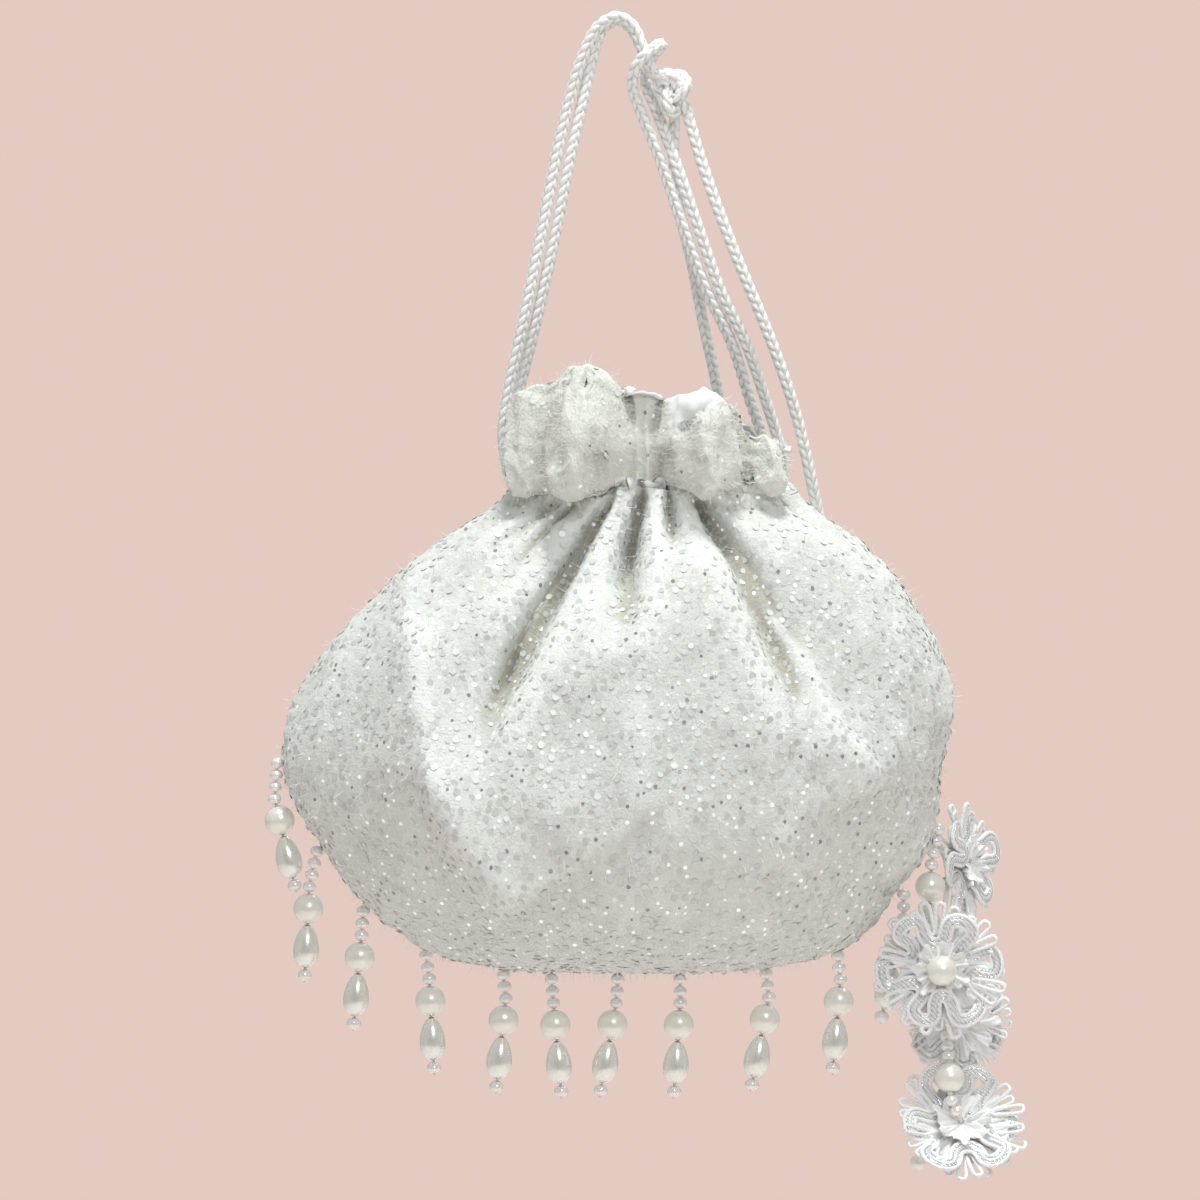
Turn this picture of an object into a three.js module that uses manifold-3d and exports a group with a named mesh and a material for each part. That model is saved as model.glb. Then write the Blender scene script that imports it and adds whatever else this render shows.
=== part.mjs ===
// A reticule: a small gathered evening bag of white cloth, hung by its own plaited drawstrings.
// The pouch is made of a front and a back cloth joined by a seam along the sides and the bottom.
// Pearl tassels hang from that seam, and a string of braid rosettes ends the tails of the cords.
//
// Millimetres, +Z up. The front faces -Y and +X is the viewer's right. The origin lies under the
// bend of the handle, where the bag hangs.
import * as THREE from "three";
import { mergeVertices } from "three/addons/utils/BufferGeometryUtils.js";
import Module from "manifold-3d";

const wasm = await Module();
wasm.setup();

const CLEAR = 0.3; // gap between pieces that touch

// The bag
const HANG_DROP = 138; // from the bend of the handle down to the neck
const BODY_HEIGHT = 144.6; // from the neck down to the bottom seam
const BAG_WIDTH = 199;
const BAG_DEPTH = 94;
const NECK_WIDTH = 84;
const NECK_DEPTH = 46;
const WALL = 2.2; // cloth, net and lining together
const SIDE_PINCH = 1.24; // 1 is a round side, and 2 a sharp one
const BOTTOM_WALL = 3.4; // bunched cloth above the bottom seam

// The frill above the neck
const FRILL_HEIGHT = 38;
const FRILL_REACH = 12.5; // how far a lobe puffs out past the neck
const FRILL_PINCH = 3.6; // how far the valleys between lobes are drawn in
const GATHERS = 15; // around the neck
const GATHER_DEPTH = 1.5;
const GATHER_FADE = 0.07; // share of the body's height

// The mesh of the bag
const FRONT_COLUMNS = 30;
const BACK_COLUMNS = 13;
const BODY_ROWS = 13;
const FRILL_ROWS = [1, 0.86, 0.64, 0.4, 0.18]; // shares of the frill's height, from the top

// The tassels
const SEED_D = 3.6;
const PEARL_D = 9;
const DROP_D = 8;
const DROP_LENGTH = 13;
const DROP_TAPER = 0.2;
const END_BEAD_D = 3.8;
const THREAD_D = 0.8;
const BORE_D = 1.6;
const BEAD_SIDES = 10;
const BEAD_RINGS = 5;
const THREAD_SIDES = 6;

// The cords and the knot
const CORD_D = 3.9;
const CORD_SIDES = 8;
const KNOT_WIDTH = 11.6;
const KNOT_HEIGHT = 15;
const KNOT_AT = [17.2, 0, -17.8];

// The ornament
const ROSETTE_R = 19; // to the tips of the braid's lobes
const ROSETTE_LOBES = 6;
const BRAID_WIDTH = 4.6; // of a rosette of full size
const BRAID_T = 2.4;
const BRAID_STEPS = 36;
const EYE_R = 3.2; // hole at the middle of a rosette
const EYE_SIDES = 10;
const EYE_FLAT_R = EYE_R * Math.cos(Math.PI / EYE_SIDES);
const PETAL_R = 11.5;
const PETAL_T = 2;
const STRING_D = 1.6;
const STRING_SIDES = 6;

// Sections of the pouch from the neck (drop 0) to the bottom (drop 1). The half width is
// neck * NECK_WIDTH / 2 + width * BAG_WIDTH / 2, and the front half depth is
// neck * NECK_DEPTH / 2 + front * BAG_DEPTH. centre is a share of BAG_WIDTH / 2.
const SECTIONS = [
  { drop: 0.0, neck: 1.0, centre: 0.112, width: 0.0, front: 0.0, back: 0.0 },
  { drop: 0.04, neck: 0.95, centre: 0.107, width: 0.077, front: 0.037, back: 0.027 },
  { drop: 0.083, neck: 0.81, centre: 0.097, width: 0.245, front: 0.111, back: 0.091 },
  { drop: 0.145, neck: 0.53, centre: 0.088, width: 0.487, front: 0.231, back: 0.201 },
  { drop: 0.228, neck: 0.15, centre: 0.069, width: 0.756, front: 0.374, back: 0.324 },
  { drop: 0.332, neck: 0.0, centre: 0.041, width: 0.924, front: 0.46, back: 0.39 },
  { drop: 0.436, neck: 0.0, centre: 0.011, width: 0.985, front: 0.505, back: 0.42 },
  { drop: 0.539, neck: 0.0, centre: -0.009, width: 1.0, front: 0.53, back: 0.44 },
  { drop: 0.643, neck: 0.0, centre: -0.005, width: 0.974, front: 0.55, back: 0.45 },
  { drop: 0.747, neck: 0.0, centre: 0.021, width: 0.906, front: 0.53, back: 0.43 },
  { drop: 0.851, neck: 0.0, centre: 0.024, width: 0.798, front: 0.47, back: 0.38 },
  { drop: 0.923, neck: 0.0, centre: 0.042, width: 0.695, front: 0.37, back: 0.3 },
  { drop: 0.965, neck: 0.0, centre: 0.044, width: 0.585, front: 0.26, back: 0.22 },
  { drop: 0.992, neck: 0.0, centre: 0.036, width: 0.4, front: 0.13, back: 0.11 },
  { drop: 1.0, neck: 0.0, centre: 0.036, width: 0.25, front: 0.012, back: 0.012 },
];

// Folds run down from the neck. from and to are drops; at and end are places across the bag, from
// -1 at the left seam to 1 at the right one; depth is a share of BAG_DEPTH and below 0 is a ridge;
// width and spread are the fold's half widths at its two ends, on the scale of at.
const FOLDS = [
  { side: "front", from: -0.02, to: 0.56, at: -0.31, end: -0.39, depth: 0.13, width: 0.1, spread: 0.11 },
  { side: "front", from: 0.0, to: 0.27, at: -0.1, end: -0.06, depth: 0.06, width: 0.07, spread: 0.09 },
  { side: "front", from: -0.02, to: 0.14, at: 0.06, end: 0.12, depth: 0.02, width: 0.06, spread: 0.06 },
  { side: "front", from: -0.01, to: 0.55, at: 0.3, end: 0.66, depth: 0.11, width: 0.1, spread: 0.17 },
  { side: "front", from: -0.02, to: 0.22, at: -0.56, end: -0.54, depth: 0.03, width: 0.08, spread: 0.09 },
  { side: "front", from: 0.2, to: 0.9, at: -0.66, end: -0.3, depth: -0.026, width: 0.12, spread: 0.14 },
  { side: "front", from: 0.12, to: 0.75, at: 0.3, end: 0.5, depth: -0.022, width: 0.1, spread: 0.16 },
  { side: "front", from: 0.16, to: 0.7, at: 0.0, end: 0.08, depth: -0.03, width: 0.2, spread: 0.28 },
  { side: "back", from: -0.02, to: 0.45, at: -0.52, end: -0.6, depth: 0.07, width: 0.1, spread: 0.14 },
  { side: "back", from: -0.02, to: 0.5, at: -0.12, end: -0.18, depth: 0.1, width: 0.1, spread: 0.14 },
  { side: "back", from: -0.02, to: 0.42, at: 0.3, end: 0.4, depth: 0.07, width: 0.1, spread: 0.14 },
];

// Lobes of the frill around the neck, in degrees: 0 is the right seam, 90 the front and 180 the left
// seam. spread is in degrees, reach a share of FRILL_REACH and rise of FRILL_HEIGHT.
const LOBES = [
  { at: 37, spread: 13, reach: 0.55, rise: 0.42 },
  { at: 71, spread: 17, reach: 0.95, rise: 0.8 },
  { at: 95, spread: 8, reach: 0.2, rise: 0.72 },
  { at: 121, spread: 18, reach: 1.0, rise: 1.0 },
  { at: 158, spread: 13, reach: 0.5, rise: 0.74 },
  { at: 216, spread: 15, reach: 0.6, rise: 0.7 },
  { at: 247, spread: 14, reach: 0.7, rise: 0.6 },
  { at: 277, spread: 14, reach: 0.6, rise: 0.56 },
  { at: 306, spread: 14, reach: 0.6, rise: 0.6 },
  { at: 332, spread: 12, reach: 0.05, rise: 0.4 },
];

// Tassels in order along the seam: place is a share of the seam's length from the left end of the
// neck, lean and hang are degrees from the vertical of the seed run and of the pearls below it.
const TASSELS = [
  { place: 0.2336, lean: -4, hang: 13, seeds: 4 },
  { place: 0.294, lean: -12, hang: -3, seeds: 4 },
  { place: 0.3414, lean: -4, hang: -5, seeds: 3 },
  { place: 0.3877, lean: 8, hang: 3, seeds: 3 },
  { place: 0.4373, lean: 6, hang: -6, seeds: 3 },
  { place: 0.4675, lean: 4, hang: 5, seeds: 3 },
  { place: 0.5092, lean: -4, hang: -10, seeds: 3 },
  { place: 0.5483, lean: 1, hang: -4, seeds: 3 },
  { place: 0.6023, lean: 7, hang: -11, seeds: 3 },
  { place: 0.6482, lean: 7, hang: -5, seeds: 3 },
  { place: 0.7034, lean: -1, hang: -14, seeds: 4 },
  { place: 0.7492, lean: -11, hang: -3, seeds: 4 },
];

// Routes of the cords, point by point.
const ROUTES = {
  cord_a1: [
    [-33, 3.6, -133], [-34.6, 3, -122], [-33.2, 2, -109.5], [-28, 0, -85.5], [-22.8, 0, -60],
    [-18.3, 0, -36.9], [-14.2, -0.6, -19.5], [-10.3, -1.6, -7.5], [-6, -2.1, 0.5], [-0.3, -2.1, 3.6],
    [4.4, -2.1, 0.8], [7, -2.1, -4.8], [8.8, -2.1, -9.6], [10.6, -2.1, -13.2],
  ],
  cord_a2: [
    [-31.4, 8.2, -133], [-32.6, 7.8, -122], [-30.2, 6, -109.5], [-24.2, 2, -85.5], [-18.6, 0.4, -60],
    [-14.1, 0, -36.9], [-10.2, 0.8, -19.5], [-7.6, 1.6, -7.5], [-4.8, 2.1, 0.2], [-0.3, 2.1, 3.4],
    [4.2, 2.1, 0.6], [7, 2.1, -4.8], [8.8, 2.1, -9.6], [10.6, 2.1, -13.2],
  ],
  cord_b: [
    [46.4, 19, -133], [45.2, 19.4, -124], [40.6, 14.4, -111], [34.2, 6.6, -93], [26.8, 3, -78],
    [19, 1, -57], [12, 0, -37],
    [6.4, -1, -23.5], [4.4, -3.4, -17.2], [5.4, -6, -12], [8.6, -6.6, -8], [11.8, -4.6, -5.4],
    [13, 0, -4.6], [12, 4.6, -5.4], [9.4, 6.6, -8.6], [8.4, 6.4, -15], [11, 4.4, -22],
    [16.4, 0.6, -37], [23.4, 1, -57], [31, 3, -78], [38.4, 5.4, -93], [45, 10.4, -111], [49.2, 14.4, -124],
    [50.4, 14.8, -133],
  ],
  tail_1: [
    [21, 0, -25.6], [24.6, 0, -38], [29.4, 0, -52], [36.4, 0.6, -70], [43.2, 1.6, -86], [49.4, 3, -102],
    [54.6, 6, -118], [58.4, 9, -134], [61.8, 14, -148], [67.4, 22.6, -165], [75, 26.6, -186],
    [83, 26, -207], [89.6, 19, -224], [92.4, 14.2, -232], [93, 13, -236.5],
  ],
  tail_2: [
    [17, 3.6, -26], [17, 8, -38], [18.6, 9, -52.5], [22.4, 9, -69], [26, 12, -87], [29.6, 19, -102],
    [33, 30, -118], [38, 32, -136], [47.1, 30.5, -153], [59.1, 31.6, -174], [69.6, 31.6, -195],
    [80, 28.4, -216], [90.6, 19.8, -231.6], [93, 17.4, -236.5],
  ],
};

// The ornament's string, from the tails down to the end bead, and what is sewn to it: at is the
// point of the string, facing is degrees turned to the right, tilt degrees tipped up, spin degrees in
// its own plane, shift how far its middle lies to its own right, and threaded is 1 for a rosette
// that the string goes through.
const STRING = [
  [93, 15.1, -237.5], [99.6, 10, -251], [98.4, 3, -266], [100, -5.6, -281], [98.2, -2, -290],
  [98.4, 2, -298.6], [98.7, -4.4, -307.5], [98.8, -6.6, -313.4], [99, -8.6, -319.3],
  [102, -7, -327], [97, -5, -333.4], [91.6, -4, -337.6],
];
const ROSETTES = [
  { at: 1, size: 0.88, facing: 58, tilt: 4, spin: 10, shift: 9, cup: 0.1, threaded: 0 },
  { at: 3, size: 1.0, facing: 2, tilt: 2, spin: 6, shift: -4.4, cup: 0.06, threaded: 0 },
  { at: 5, size: 0.8, facing: 178, tilt: 0, spin: 24, shift: -4.4, cup: 0.08, threaded: 0 },
  { at: 9, size: 1.0, facing: 6, tilt: 38, spin: 0, shift: 0, cup: 0.2, threaded: 1 },
];
const ORNAMENT_END_D = 4.6;

const CLOTH = new THREE.MeshStandardMaterial({ color: 0xeeede6, roughness: 0.8, metalness: 0 });
const SILK = new THREE.MeshStandardMaterial({ color: 0xf2f1ee, roughness: 0.4, metalness: 0 });
const PEARL = new THREE.MeshStandardMaterial({ color: 0xf1ece0, roughness: 0.18, metalness: 0 });
const DROP = new THREE.MeshStandardMaterial({ color: 0xdcd9ce, roughness: 0.2, metalness: 0.1 });
const SEED = new THREE.MeshStandardMaterial({ color: 0xf3e9e4, roughness: 0.2, metalness: 0 });
const BRAID = new THREE.MeshStandardMaterial({ color: 0xe6e8ec, roughness: 0.45, metalness: 0.1 });

const group = new THREE.Group();

// Merges a geometry to one closed mesh of positions, with its faces pointing out.
function closed(geometry) {
  const bare = geometry.clone();
  for (const name of Object.keys(bare.attributes)) {
    if (name !== "position") bare.deleteAttribute(name);
  }
  const merged = mergeVertices(bare, 1e-4);
  const at = merged.attributes.position;
  const index = merged.index.array;
  const kept = [];
  let volume = 0;
  const [a, b, c] = [new THREE.Vector3(), new THREE.Vector3(), new THREE.Vector3()];
  for (let i = 0; i < index.length; i += 3) {
    const [p, q, r] = [index[i], index[i + 1], index[i + 2]];
    if (p === q || q === r || r === p) continue;
    kept.push(p, q, r);
    a.fromBufferAttribute(at, p);
    b.fromBufferAttribute(at, q);
    c.fromBufferAttribute(at, r);
    volume += a.dot(b.cross(c));
  }
  if (volume < 0) {
    for (let i = 0; i < kept.length; i += 3) [kept[i], kept[i + 1]] = [kept[i + 1], kept[i]];
  }
  merged.setIndex(kept);
  return merged;
}

function toManifold(geometry) {
  const whole = closed(geometry);
  return new wasm.Manifold(new wasm.Mesh({
    numProp: 3,
    vertProperties: new Float32Array(whole.attributes.position.array),
    triVerts: new Uint32Array(whole.index.array),
  }));
}

// Joins closed geometries to one body.
function fused(geometries) {
  const whole = geometries.map(toManifold).reduce((sum, next) => sum.add(next));
  const mesh = whole.getMesh();
  const geometry = new THREE.BufferGeometry();
  geometry.setAttribute("position", new THREE.BufferAttribute(mesh.vertProperties, 3));
  geometry.setIndex(new THREE.BufferAttribute(mesh.triVerts, 1));
  return geometry;
}

function piece(name, geometry, material, parent = group) {
  const mesh = new THREE.Mesh(closed(geometry), material);
  mesh.name = name;
  parent.add(mesh);
  return mesh;
}

const radians = (degrees) => (degrees * Math.PI) / 180;
const mix = (a, b, share) => a + (b - a) * share;

function smooth(x) {
  const s = Math.min(1, Math.max(0, x));
  return s * s * (3 - 2 * s);
}

// A smooth curve through one column of SECTIONS.
function section(column, drop) {
  const last = SECTIONS.length - 1;
  const x = Math.min(1, Math.max(0, drop));
  let k = 0;
  while (k < last - 1 && SECTIONS[k + 1].drop < x) k++;
  const slope = (i) => {
    const [from, to] = [SECTIONS[Math.max(0, i - 1)], SECTIONS[Math.min(last, i + 1)]];
    return (to[column] - from[column]) / (to.drop - from.drop);
  };
  const [low, high] = [SECTIONS[k], SECTIONS[k + 1]];
  const span = high.drop - low.drop;
  const s = (x - low.drop) / span;
  return (
    low[column] * (1 + 2 * s) * (1 - s) ** 2 + high[column] * s * s * (3 - 2 * s) +
    span * (slope(k) * s * (1 - s) ** 2 - slope(k + 1) * s * s * (1 - s))
  );
}

function sizesAt(drop) {
  const neck = section("neck", drop);
  return {
    centre: (section("centre", drop) * BAG_WIDTH) / 2,
    half: (neck * NECK_WIDTH + section("width", drop) * BAG_WIDTH) / 2,
    front: (neck * NECK_DEPTH) / 2 + section("front", drop) * BAG_DEPTH,
    back: (neck * NECK_DEPTH) / 2 + section("back", drop) * BAG_DEPTH,
    z: -HANG_DROP - drop * BODY_HEIGHT,
  };
}

// How far the folds draw the cloth in at an angle and a drop.
function foldAt(angle, drop) {
  const across = Math.cos(angle);
  const side = Math.sin(angle) > 0 ? "front" : "back";
  let depth = 0;
  for (const fold of FOLDS) {
    const along = (drop - fold.from) / (fold.to - fold.from);
    if (fold.side !== side || along < 0 || along > 1) continue;
    const shown = smooth(along / 0.2) * (1 - smooth((along - 0.5) / 0.5));
    const off = (across - mix(fold.at, fold.end, along)) / mix(fold.width, fold.spread, along);
    depth += fold.depth * BAG_DEPTH * shown * Math.exp(-off * off);
  }
  return depth * smooth(Math.abs(Math.sin(angle)) / 0.4);
}

function gatherAt(angle, level) {
  const fade = level < 0 ? 1 - smooth(-level / 0.45) : Math.exp(-((level / GATHER_FADE) ** 2));
  const wave = 0.5 - 0.5 * Math.cos(GATHERS * (angle + 0.12 * Math.sin(3 * angle)));
  return GATHER_DEPTH * fade * wave;
}

// How full the frill is at an angle, from 0 in a valley to 1 on a lobe, with its reach and rise.
function lobeAt(angle) {
  let [full, reach, rise] = [0, 0, 0];
  for (const lobe of LOBES) {
    let off = Math.abs(angle - radians(lobe.at)) % (2 * Math.PI);
    off = Math.min(off, 2 * Math.PI - off) / radians(lobe.spread);
    const weight = Math.exp(-off * off);
    full += weight;
    reach += weight * lobe.reach;
    rise += weight * lobe.rise;
  }
  const held = Math.min(1, full);
  return {
    reach: FRILL_REACH * (reach / full) * held - FRILL_PINCH * (1 - held),
    rise: FRILL_HEIGHT * (rise / full) * (0.8 + 0.2 * held),
  };
}

// A point of the cloth. A level from 0 to 1 is a drop down the pouch, and from 0 to -1 is the way
// up the frill. inward draws the point into the bag, level by level.
function clothPoint(angle, level, inward) {
  const size = sizesAt(Math.max(0, level));
  const depth = Math.sin(angle) > 0 ? size.front : size.back;
  const out = new THREE.Vector3(Math.cos(angle) / size.half, -Math.sin(angle) / depth, 0).normalize();
  const pinch = Math.sign(Math.sin(angle)) * Math.abs(Math.sin(angle)) ** SIDE_PINCH;
  const point = new THREE.Vector3(size.centre + size.half * Math.cos(angle), -depth * pinch, size.z);
  let push = -inward;
  if (level < 0) {
    const lobe = lobeAt(angle);
    const up = -level;
    push += lobe.reach * (Math.sin(Math.PI * up) - 0.3 * up ** 4) - foldAt(angle, 0) * (1 - smooth(up / 0.3));
    point.z += lobe.rise * (0.5 - 0.5 * Math.cos(Math.PI * up));
  } else {
    push -= foldAt(angle, level);
  }
  return point.addScaledVector(out, push);
}

const outerPoint = (angle, level) => clothPoint(angle, level, gatherAt(angle, level));

// The lining's side of the wall: WALL inside the cloth as it would be without its gathers.
function innerPoint(angle, level) {
  const [turn, step] = [0.02, 0.01];
  const gather = level < 0 ? 1 - smooth(-level / 0.45) : Math.exp(-((level / GATHER_FADE) ** 2));
  const inward = GATHER_DEPTH * gather;
  const at = clothPoint(angle, level, inward);
  const [low, high] = [Math.max(-1, level - step), Math.min(1, level + step)];
  const around = clothPoint(angle + turn, level, inward).sub(clothPoint(angle - turn, level, inward));
  const along = clothPoint(angle, high, inward).sub(clothPoint(angle, low, inward));
  return at.addScaledVector(around.cross(along).normalize(), -WALL);
}

function columnAngles() {
  const front = Array.from({ length: FRONT_COLUMNS }, (_, k) => (Math.PI * k) / FRONT_COLUMNS);
  const back = Array.from({ length: BACK_COLUMNS }, (_, k) => Math.PI + (Math.PI * k) / BACK_COLUMNS);
  return [...front, ...back];
}

// Drops of the shell's rows, closer together at the neck and at the bottom.
function bodyDrops() {
  return Array.from({ length: BODY_ROWS + 1 }, (_, k) => 0.5 - 0.5 * Math.cos((Math.PI * k) / BODY_ROWS));
}

// The hollow shell: the outside from the frill's edge to the bottom, the inside back up, and the
// edge of the frill, which joins the two.
function bagShell() {
  const angles = columnAngles();
  const levels = [...FRILL_ROWS.map((share) => -share), ...bodyDrops()];
  const inside = 1 - BOTTOM_WALL / BODY_HEIGHT;
  const outer = levels.map((level) => angles.map((angle) => outerPoint(angle, level)));
  const inner = levels.map((level) => angles.map((angle) => innerPoint(angle, level < 0 ? level : level * inside)));
  const rings = [...inner.toReversed(), ...outer];
  const corners = rings.flat().flatMap((point) => point.toArray());
  const faces = [];
  const count = angles.length;
  for (let r = 0; r + 1 < rings.length; r++) {
    for (let k = 0; k < count; k++) {
      const next = (k + 1) % count;
      const [a, b, c, d] = [r * count + k, r * count + next, (r + 1) * count + next, (r + 1) * count + k];
      faces.push(a, b, c, a, c, d);
    }
  }
  for (const [first, turned] of [[0, true], [(rings.length - 1) * count, false]]) {
    const middle = corners.length / 3;
    const ring = rings[first / count];
    const centre = ring.reduce((sum, point) => sum.add(point), new THREE.Vector3()).divideScalar(count);
    corners.push(...centre.toArray());
    for (let k = 0; k < count; k++) {
      const [from, to] = [first + k, first + ((k + 1) % count)];
      faces.push(...(turned ? [middle, to, from] : [middle, from, to]));
    }
  }
  const geometry = new THREE.BufferGeometry();
  geometry.setAttribute("position", new THREE.Float32BufferAttribute(corners, 3));
  geometry.setIndex(faces);
  return geometry;
}

// The seam as it runs down the left side, along the bottom and up the right side.
function seamLine() {
  const drops = bodyDrops();
  const side = (drop, way) => {
    const size = sizesAt(drop);
    return new THREE.Vector2(size.centre + way * size.half, size.z);
  };
  return [...drops.map((drop) => side(drop, -1)), ...drops.toReversed().map((drop) => side(drop, 1))];
}

// The point at a share of the seam's length, and the way out of the bag there.
function seamPoint(line, share) {
  const spans = line.slice(1).map((point, k) => point.distanceTo(line[k]));
  let left = share * spans.reduce((sum, span) => sum + span, 0);
  let k = 0;
  while (k < spans.length - 1 && left > spans[k]) left -= spans[k++];
  const along = line[k + 1].clone().sub(line[k]).normalize();
  const at = line[k].clone().addScaledVector(along, left);
  return { at, out: new THREE.Vector2(along.y, -along.x) };
}

// A turned shape about +Z, from pairs of radius and height.
function turned(profile, sides) {
  const points = profile.map(([radius, height]) => new THREE.Vector2(radius, height));
  return new THREE.LatheGeometry(points, sides).rotateX(Math.PI / 2);
}

// A drilled bead about its middle. With a taper it narrows towards the top.
function bead(width, length, taper, bore = BORE_D) {
  const mouth = Math.asin(bore / width);
  const profile = [];
  for (let k = 0; k <= BEAD_RINGS; k++) {
    const turn = mix(mouth, Math.PI - mouth, k / BEAD_RINGS);
    const full = 1 - taper * Math.cos(turn) - taper / 4;
    const radius = k === 0 || k === BEAD_RINGS ? bore / 2 : (width / 2) * Math.sin(turn) * full;
    profile.push([radius, (length / 2) * Math.cos(turn)]);
  }
  return turned([...profile, profile[0]], BEAD_SIDES);
}

// The seed run as a plain rod with round ends, hanging from the middle of its first seed.
function seedRun(length) {
  const r = SEED_D / 2;
  const profile = [[0, r], [r * 0.8, r * 0.6], [r, 0], [r, -length], [r * 0.8, -length - r * 0.6], [0, -length - r]];
  return turned(profile, THREAD_SIDES);
}

// The thread below the seeds, from the middle of the last seed, with the end bead on it.
function threadAndEnd(length) {
  const [t, r] = [THREAD_D / 2, END_BEAD_D / 2];
  const profile = [[0, 0], [t, 0], [t, -length], [r * 0.9, -length - r * 0.55], [r * 0.9, -length - r * 1.45], [0, -length - 2 * r]];
  return turned(profile, THREAD_SIDES);
}

function addTassels() {
  const line = seamLine();
  TASSELS.forEach((row, k) => {
    const name = `tassel_${String(k + 1).padStart(2, "0")}`;
    const { at, out } = seamPoint(line, row.place);
    const run = (row.seeds - 1) * SEED_D;
    const first = at.clone().addScaledVector(out, SEED_D / 2 + CLEAR);
    const seeds = new THREE.Group();
    seeds.position.set(first.x, 0, first.y);
    seeds.rotation.y = -radians(row.lean);
    const below = new THREE.Group();
    below.position.set(0, 0, -run);
    below.rotation.y = -radians(row.hang - row.lean);
    seeds.add(below);
    group.add(seeds);
    const pearl = SEED_D / 2 + CLEAR + PEARL_D / 2;
    const drop = pearl + PEARL_D / 2 + CLEAR + DROP_LENGTH / 2;
    const end = drop + DROP_LENGTH / 2 + CLEAR;
    const lower = threadAndEnd(end).rotateY(-radians(row.hang - row.lean)).translate(0, 0, -run);
    piece(`${name}_string`, fused([seedRun(run), lower]), SEED, seeds);
    piece(`${name}_pearl`, bead(PEARL_D, PEARL_D, 0), PEARL, below).position.z = -pearl;
    piece(`${name}_drop`, bead(DROP_D, DROP_LENGTH, DROP_TAPER), DROP, below).position.z = -drop;
  });
}

// A smooth curve with a step at each chosen point, so that bends get the steps that they need.
class Route extends THREE.CatmullRomCurve3 {
  getPointAt(share, target) {
    return this.getPoint(share, target);
  }
  getTangentAt(share, target) {
    return this.getTangent(share, target);
  }
}

function tube(points, diameter, sides) {
  const path = new Route(points.map((point) => new THREE.Vector3(...point)), false, "centripetal");
  const round = Array.from({ length: sides }, (_, k) => {
    const turn = (2 * Math.PI * k) / sides;
    return new THREE.Vector2(Math.cos(turn), Math.sin(turn)).multiplyScalar(diameter / 2);
  });
  const options = { steps: points.length - 1, extrudePath: path, bevelEnabled: false };
  return new THREE.ExtrudeGeometry(new THREE.Shape(round), options);
}

// The overhand knot: two crossed turns of cord round a bunched middle.
function knotBody() {
  const ring = (KNOT_WIDTH - CORD_D) / 2;
  const turn = (x, y) => new THREE.TorusGeometry(ring, CORD_D / 2, 5, 9).scale(1, KNOT_HEIGHT / KNOT_WIDTH, 1).rotateX(x).rotateY(y);
  const middle = new THREE.SphereGeometry(ring, 6, 5).scale(1, 1, KNOT_HEIGHT / KNOT_WIDTH);
  return fused([turn(radians(68), radians(35)), turn(radians(100), radians(-30)), middle]);
}

const braidWidth = (radius) => (BRAID_WIDTH * radius) / ROSETTE_R;

// Where the middle of the braid runs at a turn of a rosette that lies flat, facing +Z.
function braidPoint(turn, radius, cup) {
  const wave = Math.cos(ROSETTE_LOBES * turn);
  const reach = (radius - braidWidth(radius) / 2) * (0.76 + 0.24 * wave);
  const at = turn + 0.05 * Math.sin(2 * ROSETTE_LOBES * turn);
  return new THREE.Vector3(reach * Math.cos(at), reach * Math.sin(at), cup * radius * (reach / radius) ** 2);
}

// A rosette facing +Z: a closed band of braid in lobes round a dished disc of petals with an eye.
function rosette(radius, cup) {
  const corners = [];
  const faces = [];
  for (let k = 0; k < BRAID_STEPS; k++) {
    const turn = (2 * Math.PI * k) / BRAID_STEPS;
    const at = braidPoint(turn, radius, cup);
    const along = braidPoint(turn + 0.01, radius, cup).sub(braidPoint(turn - 0.01, radius, cup));
    const side = new THREE.Vector3(along.y, -along.x, 0).normalize().multiplyScalar(braidWidth(radius) / 2);
    for (const [across, up] of [[1, -1], [1, 1], [-1, 1], [-1, -1]]) {
      corners.push(at.x + side.x * across, at.y + side.y * across, at.z + (up * BRAID_T) / 2);
    }
    const next = (k + 1) % BRAID_STEPS;
    for (let side = 0; side < 4; side++) {
      const [a, b] = [4 * k + side, 4 * k + ((side + 1) % 4)];
      const [c, d] = [4 * next + ((side + 1) % 4), 4 * next + side];
      faces.push(a, b, c, a, c, d);
    }
  }
  const band = new THREE.BufferGeometry();
  band.setAttribute("position", new THREE.Float32BufferAttribute(corners, 3));
  band.setIndex(faces);
  const petal = Math.min(PETAL_R, radius * 0.6);
  const dish = (r) => cup * radius * (r / radius) ** 2;
  const half = PETAL_T / 2;
  const profile = [
    [EYE_R, dish(EYE_R) + half], [petal, dish(petal) + half], [petal, dish(petal) - half],
    [EYE_R, dish(EYE_R) - half], [EYE_R, dish(EYE_R) + half],
  ];
  return fused([band, turned(profile, EYE_SIDES)]);
}

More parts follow.
